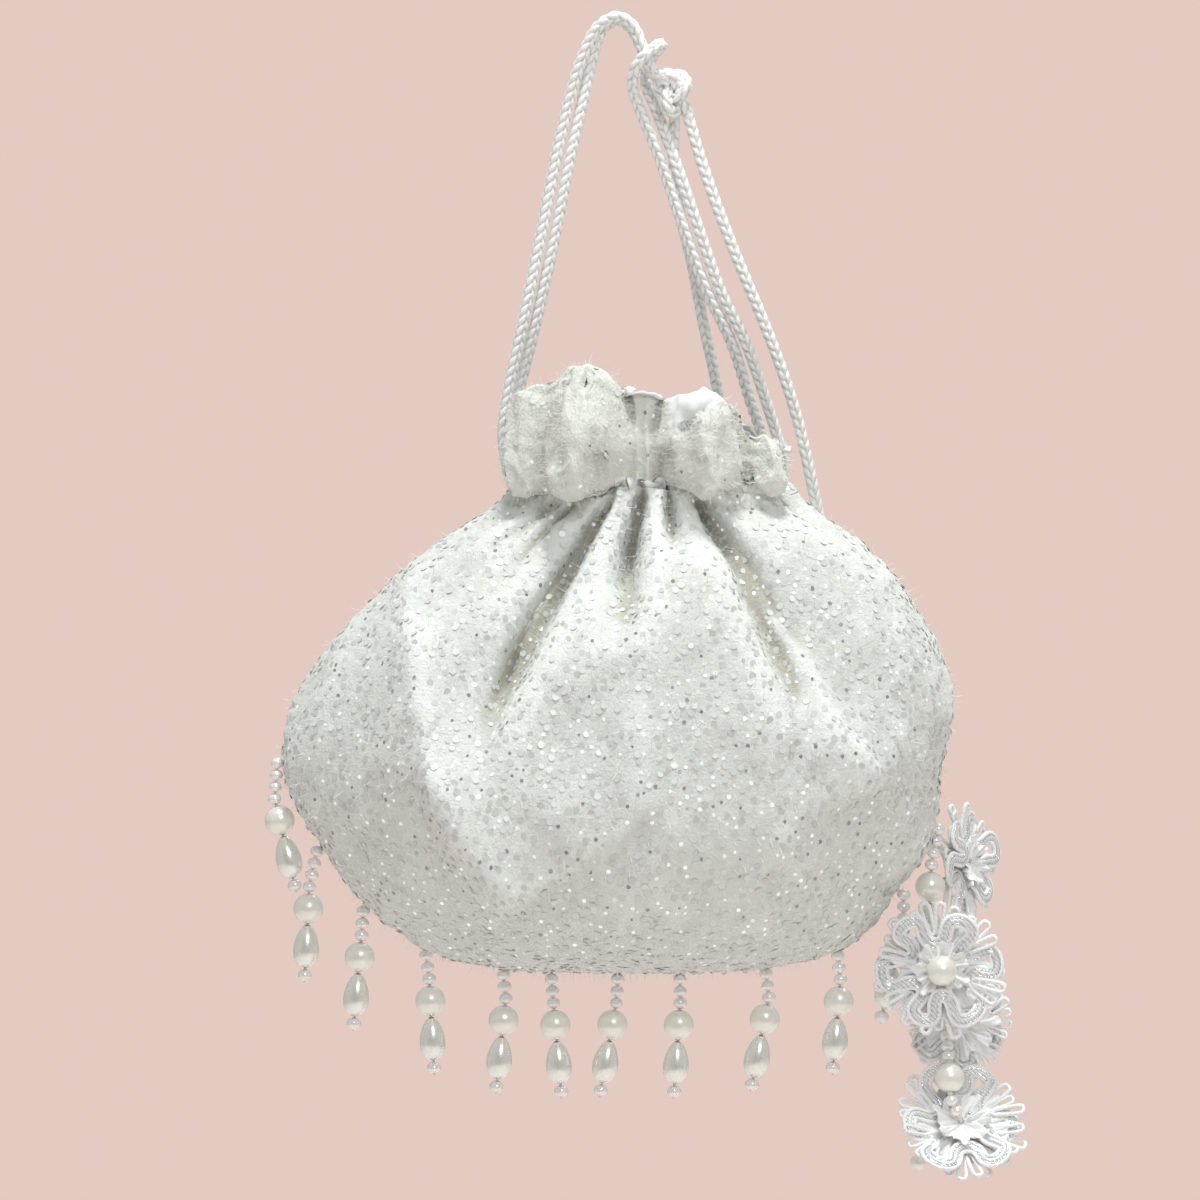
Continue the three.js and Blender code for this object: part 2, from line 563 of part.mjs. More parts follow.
function addOrnament() {
  const gap = CLEAR + STRING_D / 2 + BRAID_T / 2;
  ROSETTES.forEach((row, k) => {
    const radius = ROSETTE_R * row.size;
    const holder = new THREE.Group();
    holder.position.set(...STRING[row.at]);
    holder.rotation.set(Math.PI / 2 - radians(row.tilt), 0, radians(row.facing), "ZXY");
    group.add(holder);
    const flower = piece(`rosette_${k + 1}`, rosette(radius, row.cup), BRAID, holder);
    flower.position.set(row.shift, 0, row.threaded ? 0 : gap);
    flower.rotation.z = radians(row.spin);
    if (k === 1) {
      const seated = PETAL_T / 2 + CLEAR + Math.sqrt((PEARL_D / 2) ** 2 - EYE_FLAT_R ** 2);
      const pearl = piece("rosette_2_pearl", bead(PEARL_D, PEARL_D, 0), PEARL, holder);
      pearl.position.set(row.shift, 0, gap + seated);
    }
  });
  piece("ornament_string", tube(STRING, STRING_D, STRING_SIDES), SEED);
  const route = STRING.map((point) => new THREE.Vector3(...point));
  const last = route.length - 1;
  const upward = (from, to) => route[from].clone().sub(route[to]).normalize();
  const up = new THREE.Vector3(0, 0, 1);
  const pearl = piece("ornament_pearl", bead(PEARL_D, PEARL_D, 0, STRING_D + 2 * CLEAR), PEARL);
  const between = (ROSETTES.at(-2).at + ROSETTES.at(-1).at) / 2; // halfway from the third flower to the last
  pearl.position.copy(route[between]);
  pearl.quaternion.setFromUnitVectors(up, upward(between - 1, between + 1));
  const end = piece("ornament_end", bead(ORNAMENT_END_D, ORNAMENT_END_D, 0), PEARL);
  const way = upward(last - 1, last);
  end.position.copy(route[last]).addScaledVector(way, -(ORNAMENT_END_D / 2 + CLEAR));
  end.quaternion.setFromUnitVectors(up, way);
}

piece("bag_shell", bagShell(), CLOTH);
addTassels();
for (const [name, points] of Object.entries(ROUTES)) piece(name, tube(points, CORD_D, CORD_SIDES), SILK);
piece("knot", knotBody(), SILK).position.set(...KNOT_AT);
addOrnament();

export default group;
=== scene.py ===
import math

import bpy
import numpy as np
from mathutils import Matrix, Vector


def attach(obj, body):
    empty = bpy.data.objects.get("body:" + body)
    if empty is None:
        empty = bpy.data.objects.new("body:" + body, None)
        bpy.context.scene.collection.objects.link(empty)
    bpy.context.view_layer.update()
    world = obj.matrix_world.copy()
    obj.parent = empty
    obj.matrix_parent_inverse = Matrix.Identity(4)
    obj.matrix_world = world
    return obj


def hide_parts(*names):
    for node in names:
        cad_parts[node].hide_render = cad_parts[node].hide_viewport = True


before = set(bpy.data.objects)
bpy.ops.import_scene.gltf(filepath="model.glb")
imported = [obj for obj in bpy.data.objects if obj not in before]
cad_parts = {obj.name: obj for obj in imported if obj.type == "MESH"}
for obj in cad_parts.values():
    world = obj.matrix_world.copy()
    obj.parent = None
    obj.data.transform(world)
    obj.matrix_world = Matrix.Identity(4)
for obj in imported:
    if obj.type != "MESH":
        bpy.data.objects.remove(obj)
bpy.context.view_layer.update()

# The view and the light
# The camera is level with the middle of the bag and looks straight at its front.
# Three soft lights fall on the cloth as in a bright studio: from above, from before and from behind.
MM = 0.001
BAG_MIDDLE = (0, 0, -0.17)
LIGHTS = (
    ("key_light", (0.06, -0.34, 1.2), 0.26, 14.3, (0.965, 1, 0.98)),
    ("fill_light", (0.25, -1.1, 0.45), 0.3, 3.4, (0.98, 1, 0.995)),
    ("rim_light", (0.5, 0.9, 0.9), 0.7, 4, (1, 0.98, 0.96)),
)
scene = bpy.context.scene


def placed(name, data, location=(0, 0, 0)):
    """A new object in the scene."""
    made = bpy.data.objects.new(name, data)
    made.location = location
    scene.collection.objects.link(made)
    return made


eye = bpy.data.cameras.new("eye")
eye.lens = 100
eye.sensor_width = 36
camera = placed("camera", eye, (-5.4 * MM, -1, -171 * MM))
camera.rotation_euler = (math.pi / 2, 0, 0)
scene.camera = camera
for name, location, size, power, colour in LIGHTS:
    lamp = bpy.data.lights.new(name, "AREA")
    lamp.size = size
    lamp.energy = power
    lamp.color = colour
    aim = Vector(BAG_MIDDLE) - Vector(location)
    placed(name, lamp, location).rotation_euler = aim.to_track_quat("-Z", "Y").to_euler()
scene.view_settings.view_transform = "Standard"

# The floor
# A wide pale floor lies well below the hanging bag, and isn't part of it. It catches a faint shadow
# and throws a little light back up.
FLOOR_HALF = 1.2
floor_mesh = bpy.data.meshes.new("floor")
floor_corners = [(x * FLOOR_HALF, y * FLOOR_HALF, 0) for x, y in ((-1, -1), (1, -1), (1, 1), (-1, 1))]
floor_mesh.from_pydata(floor_corners, [], [(0, 1, 2, 3)])
floor = placed("floor", floor_mesh, (0, 0, -0.62))


class Wire:
    """An output of a node. Sums of wires and numbers add the Math nodes that they need."""

    def __init__(self, graph, made, out=0):
        self.graph = graph
        self.made = made
        self.socket = made.outputs[out] if len(made.outputs) else None

    def out(self, name):
        return Wire(self.graph, self.made, name)

    def math(self, operation, *terms):
        return self.graph.node("ShaderNodeMath", {"operation": operation}, dict(enumerate(terms)))

    def __add__(self, other):
        return self.math("ADD", self, other)

    def __sub__(self, other):
        return self.math("SUBTRACT", self, other)

    def __rsub__(self, other):
        return self.math("SUBTRACT", other, self)

    def __mul__(self, other):
        return self.math("MULTIPLY", self, other)

    def __truediv__(self, other):
        return self.math("DIVIDE", self, other)

    def __pow__(self, other):
        return self.math("POWER", self, other)

    def __mod__(self, other):
        return self.math("FLOORED_MODULO", self, other)

    def __gt__(self, other):
        return self.math("GREATER_THAN", self, other)

    __radd__ = __add__
    __rmul__ = __mul__


class Graph:
    """The nodes of one finish or of one maker of repeats."""

    def __init__(self, tree):
        self.tree = tree

    def node(self, kind, settings=None, values=None):
        """A new node of a kind, with its settings made first, then the values or wires of its sockets."""
        made = self.tree.nodes.new(kind)
        for name, value in (settings or {}).items():
            if name == "stops":
                ramp = made.color_ramp
                while len(ramp.elements) < len(value):
                    ramp.elements.new(0.5)
                for element, (position, colour) in zip(ramp.elements, value):
                    element.position = position
                    element.color = (*colour, 1)
            else:
                setattr(made, name, value)
        for key, value in (values or {}).items():
            if isinstance(value, Wire):
                self.tree.links.new(value.socket, made.inputs[key])
            else:
                made.inputs[key].default_value = value
        return Wire(self, made)

    def mix(self, share, low, high):
        """A colour between two colours."""
        low, high = (end if isinstance(end, Wire) else (*end, 1) for end in (low, high))
        return self.node("ShaderNodeMix", {"data_type": "RGBA"}, {0: share, 6: low, 7: high}).out(2)

    def noise(self, where, size, detail=2):
        """Soft noise from 0 to 1, whose lumps are about size metres wide."""
        return self.node("ShaderNodeTexNoise", {}, {"Vector": where, "Scale": 1 / size, "Detail": detail})

    def place(self):
        """Where each point of the piece is, in metres."""
        return self.node("ShaderNodeTexCoord").out("Object")

    def mark(self, label):
        """The number of that name at each point of the piece."""
        return self.node("ShaderNodeAttribute", {"attribute_name": label}).out("Fac")

    def parts(self, vector):
        return self.node("ShaderNodeSeparateXYZ", {}, {0: vector})

    def vector(self, x, y, z):
        return self.node("ShaderNodeCombineXYZ", {}, {0: x, 1: y, 2: z})

    def scaled(self, value, given=(0, 1), wanted=(0, 1)):
        """A value taken from one range of numbers to another, and held within it."""
        ends = {"From Min": given[0], "From Max": given[1], "To Min": wanted[0], "To Max": wanted[1]}
        return self.node("ShaderNodeMapRange", {}, {"Value": value, **ends})

    def bump(self, height, strength, distance):
        values = {"Height": height, "Strength": strength, "Distance": distance}
        return self.node("ShaderNodeBump", {}, values)


def finish(name, build):
    """A material whose surface comes from build, which returns the values of its Principled shader."""
    material = bpy.data.materials.new(name)
    material.use_nodes = True
    material.node_tree.nodes.clear()
    graph = Graph(material.node_tree)
    surface = graph.node("ShaderNodeBsdfPrincipled", {}, build(graph))
    graph.node("ShaderNodeOutputMaterial", {}, {"Surface": surface})
    return material


def floor_paint(g):
    colour = g.mix(g.noise(g.place(), 0.4), (0.80, 0.74, 0.71), (0.84, 0.78, 0.75))
    return {"Base Color": colour, "Roughness": 0.85}


floor_mesh.materials.append(finish("pale_floor", floor_paint))

# The surround
# The air round the bag is a pale even light, a little darker below it and before it, which draws the
# edges of its folds. What the camera sees of it is one plain blush.
surround = bpy.data.worlds.new("surround")
surround.use_nodes = True
surround.node_tree.nodes.clear()
air = Graph(surround.node_tree)
seen = air.node("ShaderNodeLightPath").out("Is Camera Ray")
way = air.parts(air.node("ShaderNodeTexCoord").out("Generated"))
around = air.mix(air.scaled(way.out("Z"), (-0.8, 0.7)), (0.43, 0.36, 0.335), (0.53, 0.54, 0.53))
around = air.mix(air.scaled(way.out("Y"), (-0.6, -0.98)), around, (0.33, 0.325, 0.31))
shown = air.mix(seen, around, (0.77, 0.595, 0.54))
sky = air.node("ShaderNodeBackground", {}, {"Color": shown, "Strength": 1.0})
air.node("ShaderNodeOutputWorld", {}, {"Surface": sky})
scene.world = surround

# The drawstrings
# Five free lengths of plaited artificial silk, 3.9 mm thick: two strands go over the hanging point to
# the knot, one loop hooks round them, and two tails hang behind the bag and carry the ornament.
CORD_D = 3.9 * MM
CORD_STEP = 0.36 * MM
PLAIT_PITCH = 3.1 * MM
PLAIT_DEPTH = 0.72 * MM
PLAIT_SLANT = 0.85
ROUTES = {
    "cord_a1": [
        (-33, 3.6, -133), (-34.6, 3, -122), (-33.2, 2, -109.5), (-28, 0, -85.5), (-22.8, 0, -60),
        (-18.3, 0, -36.9), (-14.2, -0.6, -19.5), (-10.3, -1.6, -7.5), (-6, -2.1, 0.5), (-0.3, -2.1, 3.6),
        (4.4, -2.1, 0.8), (7, -2.1, -4.8), (8.8, -2.1, -9.6), (10.6, -2.1, -13.2),
    ],
    "cord_a2": [
        (-31.4, 8.2, -133), (-32.6, 7.8, -122), (-30.2, 6, -109.5), (-24.2, 2, -85.5), (-18.6, 0.4, -60),
        (-14.1, 0, -36.9), (-10.2, 0.8, -19.5), (-7.6, 1.6, -7.5), (-4.8, 2.1, 0.2), (-0.3, 2.1, 3.4),
        (4.2, 2.1, 0.6), (7, 2.1, -4.8), (8.8, 2.1, -9.6), (10.6, 2.1, -13.2),
    ],
    "cord_b": [
        (46.4, 19, -133), (45.2, 19.4, -124), (40.6, 14.4, -111), (34.2, 6.6, -93), (26.8, 3, -78),
        (19, 1, -57), (12, 0, -37), (6.4, -1, -23.5), (4.4, -3.4, -17.2), (5.4, -6, -12), (8.6, -6.6, -8),
        (11.8, -4.6, -5.4), (13, 0, -4.6), (12, 4.6, -5.4), (9.4, 6.6, -8.6), (8.4, 6.4, -15), (11, 4.4, -22),
        (16.4, 0.6, -37), (23.4, 1, -57), (31, 3, -78), (38.4, 5.4, -93), (45, 10.4, -111),
        (49.2, 14.4, -124), (50.4, 14.8, -133),
    ],
    "tail_1": [
        (21, 0, -25.6), (24.6, 0, -38), (29.4, 0, -52), (36.4, 0.6, -70), (43.2, 1.6, -86), (49.4, 3, -102),
        (54.6, 6, -118), (58.4, 9, -134), (61.8, 14, -148), (67.4, 22.6, -165), (75, 26.6, -186),
        (83, 26, -207), (89.6, 19, -224), (92.4, 14.2, -232), (93, 13, -236.5),
    ],
    "tail_2": [
        (17, 3.6, -26), (17, 8, -38), (18.6, 9, -52.5), (22.4, 9, -69), (26, 12, -87), (29.6, 19, -102),
        (33, 30, -118), (38, 32, -136), (47.1, 30.5, -153), (59.1, 31.6, -174), (69.6, 31.6, -195),
        (80, 28.4, -216), (90.6, 19.8, -231.6), (93, 17.4, -236.5),
    ],
}


def gone_along(path):
    """How far along a path each of its points is."""
    return np.concatenate([[0], np.cumsum(np.linalg.norm(np.diff(path, axis=0), axis=1))])


def smooth_route(points, step):
    """A smooth curve through points in millimetres, as evenly spaced points in metres."""
    given = np.array(points, float) * MM
    given = np.vstack([2 * given[0] - given[1], given, 2 * given[-1] - given[-2]])
    curve = []
    for k in range(len(given) - 3):
        p = given[k : k + 4]
        knots = np.concatenate([[0], np.cumsum(np.linalg.norm(np.diff(p, axis=0), axis=1) ** 0.5)])
        t = np.linspace(knots[1], knots[2], 40, endpoint=False)[:, None]

        def between(a, b, i, j):
            return (knots[j] - t) / (knots[j] - knots[i]) * a + (t - knots[i]) / (knots[j] - knots[i]) * b

        first, second, third = (between(p[i], p[i + 1], i, i + 1) for i in range(3))
        curve.append(between(between(first, second, 0, 2), between(second, third, 1, 3), 1, 2))
    curve = np.vstack([*curve, given[-2:-1]])
    gone = gone_along(curve)
    at = np.linspace(0, gone[-1], max(2, round(gone[-1] / step) + 1))
    return np.stack([np.interp(at, gone, curve[:, axis]) for axis in range(3)], 1)


def maker(name, sizes):
    """A tree of Geometry Nodes whose inputs are a geometry and what sizes names, each with its kind."""
    tree = bpy.data.node_groups.new(name, "GeometryNodeTree")
    tree.interface.new_socket("Geometry", in_out="INPUT", socket_type="NodeSocketGeometry")
    for label, kind in sizes.items():
        tree.interface.new_socket(label, in_out="INPUT", socket_type=f"NodeSocket{kind}")
    tree.interface.new_socket("Geometry", in_out="OUTPUT", socket_type="NodeSocketGeometry")
    graph = Graph(tree)
    return graph, graph.node("NodeGroupInput")


def smoothly(graph, geometry):
    return graph.node("GeometryNodeSetShadeSmooth", {}, {"Geometry": geometry})


def painted(graph, geometry, material):
    """Plain mesh of one finish, with every copy in it made real."""
    plain = graph.node("GeometryNodeRealizeInstances", {}, {"Geometry": geometry})
    return graph.node("GeometryNodeSetMaterial", {}, {"Geometry": plain, "Material": material})


def end_tree(graph, geometry):
    graph.node("NodeGroupOutput", {}, {"Geometry": geometry})


def made_by(piece, graph, values):
    """Runs a tree on a piece, and leaves the plain mesh that it makes."""
    modifier = piece.modifiers.new(graph.tree.name, "NODES")
    modifier.node_group = graph.tree
    for socket in graph.tree.interface.items_tree:
        if socket.in_out == "INPUT" and socket.name in values:
            modifier[socket.identifier] = values[socket.name]
    piece.update_tag()
    bpy.context.view_layer.update()
    mesh = bpy.data.meshes.new_from_object(piece.evaluated_get(bpy.context.evaluated_depsgraph_get()))
    piece.modifiers.clear()
    rough = piece.data
    piece.data = mesh
    bpy.data.meshes.remove(rough)
    mesh.name = piece.name
    return piece


def join(name, parts):
    """One piece from several plain ones."""
    chosen = {"active_object": parts[0], "selected_editable_objects": parts, "selected_objects": parts}
    with bpy.context.temp_override(**chosen):
        bpy.ops.object.join()
    parts[0].name = name
    parts[0].data.name = name
    return parts[0]


def line_piece(name, paths, closed=False, values=None):
    """A piece of plain lines, for a tree to work on, with named numbers at its points."""
    edges = []
    start = 0
    for path in paths:
        count = len(path)
        edges += [(start + k, start + k + 1) for k in range(count - 1)]
        if closed:
            edges.append((start + count - 1, start))
        start += count
    mesh = bpy.data.meshes.new(name)
    mesh.from_pydata(np.vstack(paths).tolist(), edges, [])
    facts = {"along": np.concatenate([gone_along(path) for path in paths]), **(values or {})}
    for label, numbers in facts.items():
        kind, field = ("FLOAT_VECTOR", "vector") if np.ndim(numbers) == 2 else ("FLOAT", "value")
        attribute = mesh.attributes.new(label, kind, "POINT")
        attribute.data.foreach_set(field, np.asarray(numbers, np.float32).ravel())
    return placed(name, mesh)


def named(graph, label, kind="FLOAT"):
    return graph.node("GeometryNodeInputNamedAttribute", {"data_type": kind}, {"Name": label})


def stored(graph, geometry, label, value, kind="FLOAT"):
    """The geometry with a named number at each of its points."""
    facts = {"Geometry": geometry, "Name": label, "Value": value}
    return graph.node("GeometryNodeStoreNamedAttribute", {"data_type": kind, "domain": "POINT"}, facts)


def circle(graph, radius, sides):
    values = {"Resolution": sides, "Radius": radius}
    return graph.node("GeometryNodeCurvePrimitiveCircle", {"mode": "RADIUS"}, values)


def tube_along(graph, geometry, radius, sides):
    """A closed tube along the lines of a geometry, which remembers how far round each point is."""
    curve = graph.node("GeometryNodeMeshToCurve", {}, {0: geometry})
    turn = graph.node("GeometryNodeSplineParameter").out("Factor")
    ring = stored(graph, circle(graph, radius, sides), "around", turn)
    return graph.node("GeometryNodeCurveToMesh", {}, {"Curve": curve, "Profile Curve": ring, "Fill Caps": True})


def plaited(g, given):
    """Four slanted columns of strands round a tube, each the mirror of the next, as in a flat plait."""
    core = tube_along(g, given.out("Geometry"), given.out("Width") / 2 - given.out("Depth"), 24)
    column = named(g, "around") * 4
    across = column % 1
    odd = column.math("FLOOR", column) % 2
    slant = (1 - odd * 2) * (across - 0.5) * PLAIT_SLANT
    strand = named(g, "along") / given.out("Pitch") + slant + odd * 0.5
    bulge = 1 - (strand % 1 * 2 - 1) ** 2
    crown = 1 - (across * 2 - 1) ** 2 * 0.75
    height = (bulge * crown) ** 0.62
    normal = g.node("GeometryNodeInputNormal")
    push = g.node("ShaderNodeVectorMath", {"operation": "SCALE"}, {0: normal, "Scale": height * given.out("Depth")})
    shaped = g.node("GeometryNodeSetPosition", {}, {"Geometry": core, "Offset": push})
    return stored(g, shaped, "plait", g.vector(strand, height, across), "FLOAT_VECTOR")


plait, given = maker("plaited_cord", {"Width": "Float", "Pitch": "Float", "Depth": "Float", "Finish": "Material"})
end_tree(plait, painted(plait, smoothly(plait, plaited(plait, given)), given.out("Finish")))


def silk_finish(g):
    """Shiny twisted filament: bright strands, grooves painted grey as painted shade, and fine fibres that run along
    each strand.
    """
    parts = g.parts(g.node("ShaderNodeAttribute", {"attribute_name": "plait"}).out("Vector"))
    strand = parts.out("X")
    uneven = g.noise(g.place(), 1.2 * MM)
    fibres = strand.math("SINE", strand * 44 + uneven * 5)
    # The colour runs from grey in the grooves to white on the strands' tops: painted shade in the grooves.
    return {
        "Base Color": g.mix(g.scaled(parts.out("Y"), (0.1, 0.62)), (0.6, 0.6, 0.58), (1.0, 1.0, 0.995)),
        "Roughness": g.scaled(uneven, wanted=(0.2, 0.36)), "Normal": g.bump(fibres, 0.35, 0.06 * MM),
        "Specular IOR Level": 0.9, "Sheen Weight": 0.5, "Sheen Roughness": 0.35,
        "Coat Weight": 0.5, "Coat Roughness": 0.2,
    }


silk = finish("plaited_silk", silk_finish)
plait_sizes = {"Width": CORD_D, "Pitch": PLAIT_PITCH, "Depth": PLAIT_DEPTH, "Finish": silk}
cord_paths = {name: smooth_route(points, CORD_STEP) for name, points in ROUTES.items()}
for name, path in cord_paths.items():
    cord = made_by(line_piece(f"{name}_silk", [path]), plait, plait_sizes)
    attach(cord, "root")
    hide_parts(name)

# The knot
# The first two strands end in one tight overhand knot, of the same cord, with the tails below it.
# Both strands run side by side through its crossed loop, drawn up tall and narrow into a ball.
KNOT_AT = (16.4 * MM, 0, -17.6 * MM)
# how far aside each strand's loop lies, and its size
KNOT_STRANDS = ((-1.7, 1.0), (1.7, 0.84))
KNOT_ENTRIES = (
    [(10.4, -2.1, -12.8), (12.6, -2.8, -14.2), (15.4, -2.6, -16.4)],
    [(10.4, 2.1, -12.8), (12.6, 2.8, -14.6), (15.4, 2.2, -17)],
    [(21.2, 0, -26.2), (19.8, -0.8, -22.6), (17.6, -1, -19)],
    [(17, 3.8, -26.4), (16.8, 2.6, -23), (16.4, 1.6, -19)],
)
turn = np.linspace(0, 2 * math.pi, 260, endpoint=False)
loops = []
for aside, size in KNOT_STRANDS:
    loop = np.stack([
        1.5 * (np.sin(turn) + 2 * np.sin(2 * turn)),
        -1.7 * np.sin(3 * turn) + aside,
        2.15 * (np.cos(turn) - 2 * np.cos(2 * turn)) + 0.6 * aside,
    ], 1) * size * MM
    loops.append(loop + np.array(KNOT_AT))
knot = made_by(line_piece("knot_silk", loops, closed=True), plait, plait_sizes)
entry = line_piece("knot_entries", [smooth_route(points, CORD_STEP) for points in KNOT_ENTRIES])
knot = join("knot_silk", [knot, made_by(entry, plait, plait_sizes)])
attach(knot, "root")
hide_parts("knot")

# The pouch
# A front and a back of white cloth under fine net, lined, joined by a seam along the sides and the
# bottom, and gathered at the neck by the drawstrings. The cloth above them stands up in a puffed frill.
HANG_DROP = 138 * MM
BODY_HEIGHT = 144.6 * MM
BAG_WIDTH = 199 * MM
BAG_DEPTH = 94 * MM
NECK_WIDTH = 84 * MM
NECK_DEPTH = 46 * MM
CLOTH_T = 1.7 * MM
BOTTOM_WALL = 3.4 * MM
SIDE_PINCH = 1.24
FRILL_HEIGHT = 38 * MM
FRILL_REACH = 12.5 * MM
FRILL_PINCH = 6.5 * MM
# How the pouch runs from its neck to its bottom: shares of its height, of the neck's width, of where
# its middle lies, and of its half width and its depth before and behind the seam.
SECTIONS = {
    "drop": [0, 0.04, 0.083, 0.145, 0.228, 0.332, 0.436, 0.539, 0.643, 0.747, 0.851, 0.923, 0.965, 0.992, 1],
    "neck": [1, 0.95, 0.81, 0.53, 0.15, 0, 0, 0, 0, 0, 0, 0, 0, 0, 0],
    "centre": [
        0.112, 0.107, 0.097, 0.088, 0.069, 0.041, 0.011, -0.009, -0.005, 0.021, 0.024, 0.042, 0.044, 0.036, 0.036,
    ],
    "width": [0, 0.077, 0.245, 0.487, 0.756, 0.924, 0.985, 1, 0.974, 0.906, 0.798, 0.695, 0.585, 0.4, 0.25],
    "front": [0, 0.037, 0.111, 0.231, 0.374, 0.46, 0.505, 0.53, 0.55, 0.53, 0.47, 0.37, 0.26, 0.13, 0.012],
    "back": [0, 0.027, 0.091, 0.201, 0.324, 0.39, 0.42, 0.44, 0.45, 0.43, 0.38, 0.3, 0.22, 0.11, 0.012],
}
# Wide soft folds: side, drops from and to, places across at both ends, depth, half widths, and how
# much steeper one bank is than the other, above 0 for the right bank and below 0 for the left one.
FOLDS = [
    (1, 0.05, 0.6, -0.29, -0.4, 0.14, 0.06, 0.13, 0.5),
    (1, 0.03, 0.34, -0.08, -0.03, 0.13, 0.05, 0.11, 0.4),
    (1, -0.02, 0.16, 0.08, 0.12, 0.06, 0.05, 0.06, 0.0),
    (1, 0.05, 0.55, 0.3, 0.6, 0.15, 0.08, 0.2, -0.5),
    (1, -0.02, 0.24, -0.56, -0.54, 0.06, 0.08, 0.09, 0.3),
    (1, 0.16, 0.7, 0.0, 0.08, -0.03, 0.2, 0.28, 0.0),
    (-1, -0.02, 0.45, -0.52, -0.6, 0.07, 0.1, 0.14, 0.0),
    (-1, -0.02, 0.5, -0.12, -0.18, 0.1, 0.1, 0.14, 0.0),
    (-1, -0.02, 0.42, 0.3, 0.4, 0.07, 0.1, 0.14, 0.0),
]
# Lobes of the frill: degrees round the neck and spread, shares of the frill's reach and height, and
# how many millimetres each one hangs back down over the neck.
LOBES = [
    (37, 11, 0.6, 0.44, 6), (70, 15, 1.15, 0.82, 10), (96, 7.5, -0.2, 0.74, 0), (121, 16, 1.2, 1.0, 12),
    (151, 14, 0.7, 0.86, 8), (216, 15, 0.6, 0.7, 6), (247, 14, 0.7, 0.6, 6), (277, 14, 0.6, 0.56, 5),
    (306, 14, 0.6, 0.6, 5), (334, 12, 0.3, 0.42, 3),
]
LOBE_WIDEN = 4.2 * MM
# Creases and ridges of the front: width and depth in millimetres, how far their lips close, where
# along their line they begin to fade, how much wider the right side is than the left one, and the line,
# as x and z in millimetres. Ridges have a depth below 0.
CREASES = [
    (1.4, 3.6, 0.4, 0.5, -0.3, [
        (-4, -141), (-11, -154), (-20, -167), (-27.5, -180), (-32.5, -193), (-36.5, -206), (-39, -222),
    ]),
    (2.8, 3.6, 0.2, 0.5, -0.4, [(-29, -184), (-32.5, -193), (-35.5, -202), (-37.5, -212)]),
    (1.3, 4.2, 0.4, 0.8, -0.3, [(5.5, -141), (4.6, -150), (3.2, -160), (1.8, -169)]),
    (3.6, 5.4, 0.2, 0.5, 0.3, [(2.4, -152), (0.8, -161), (-1.2, -172)]),
    (1.9, 3.6, 0.3, 0.35, 0, [(15.5, -139), (15.5, -148), (17, -160)]),
    (1.8, 1.2, 0.3, 0.35, 0.4, [(25, -141), (34, -154), (42, -168), (50, -184), (58, -200)]),
    (2.2, 2.6, 0.2, 0.35, 0, [(-21, -142), (-30, -151), (-41, -160)]),
    (1.9, 3.0, 0.3, 0.35, 0, [(24, -142), (34, -144.5), (45, -144)]),
    (12, -7.8, 0, 0.95, 0.3, [
        (-60, -172), (-57, -186), (-55, -203), (-52, -222), (-44, -238), (-32, -254), (-26, -262),
    ]),
    (12, -5.5, 0, 0.9, -0.55, [(24, -150), (36, -169), (50, -187), (60, -203), (70, -219), (76, -229)]),
    (1.9, 4.0, 0.4, 0.8, 0, [(-17, -106), (-19.5, -114), (-20.5, -124), (-18, -134)]),
    (1.2, 2.2, 0.3, 0.35, 0, [(-8, -103), (-11.5, -110), (-14, -117)]),
    (1.4, 3.4, 0.3, 0.35, 0, [(2, -108), (3.5, -117), (5, -126)]),
    (1.3, 3.6, 0.3, 0.35, 0, [(13, -109), (11.5, -119), (10, -129)]),
    (1.0, 2.6, 0.5, 0.35, 0, [(15.5, -123), (23, -117), (33, -111)]),
    (2.0, 3.2, 0.2, 0.8, 0, [(37, -116), (38, -126), (40, -137)]),
    (2.6, 4.2, 0.1, 0.8, 0, [(-6.5, -128), (-5.5, -134), (-4, -141)]),
    (2.2, 4.8, 0.2, 0.8, 0, [(14, -126), (13, -132), (12, -139)]),
]


def soft_step(x):
    s = np.clip(x, 0, 1)
    return s * s * (3 - 2 * s)


def section(column, drop):
    """A smooth curve through one row of SECTIONS."""
    x = np.array(SECTIONS["drop"])
    y = np.array(SECTIONS[column], float)
    last = len(x) - 1
    row = np.arange(last + 1)
    before, after = np.maximum(0, row - 1), np.minimum(last, row + 1)
    slope = (y[after] - y[before]) / (x[after] - x[before])
    at = np.clip(drop, 0, 1)
    k = np.clip(np.searchsorted(x, at, "left") - 1, 0, last - 1)
    span = x[k + 1] - x[k]
    s = (at - x[k]) / span
    ends = y[k] * (1 + 2 * s) * (1 - s) ** 2 + y[k + 1] * s * s * (3 - 2 * s)
    return ends + span * (slope[k] * s * (1 - s) ** 2 - slope[k + 1] * s * s * (1 - s))


def fold_at(angle, drop):
    """How far the wide folds draw the cloth in."""
    across = np.cos(angle)
    depth = np.zeros_like(across)
    for side, start, stop, at, end, deep, width, spread, steep in FOLDS:
        along = (drop - start) / (stop - start)
        shown = soft_step((along + 0.12) / 0.2) * (1 - soft_step((along - 0.5) / 0.5))
        off = (across - (at + (end - at) * along)) / (width + (spread - width) * along)
        off = off / (1 - steep * np.tanh(3 * off))
        here = (np.sign(np.sin(angle)) == side) & (along <= 1)
        depth += np.where(here, deep * BAG_DEPTH * shown * np.exp(-1.5 * (np.sqrt(off * off + 0.03) - 0.17)), 0)
    return depth * soft_step(np.abs(np.sin(angle)) / 0.4)


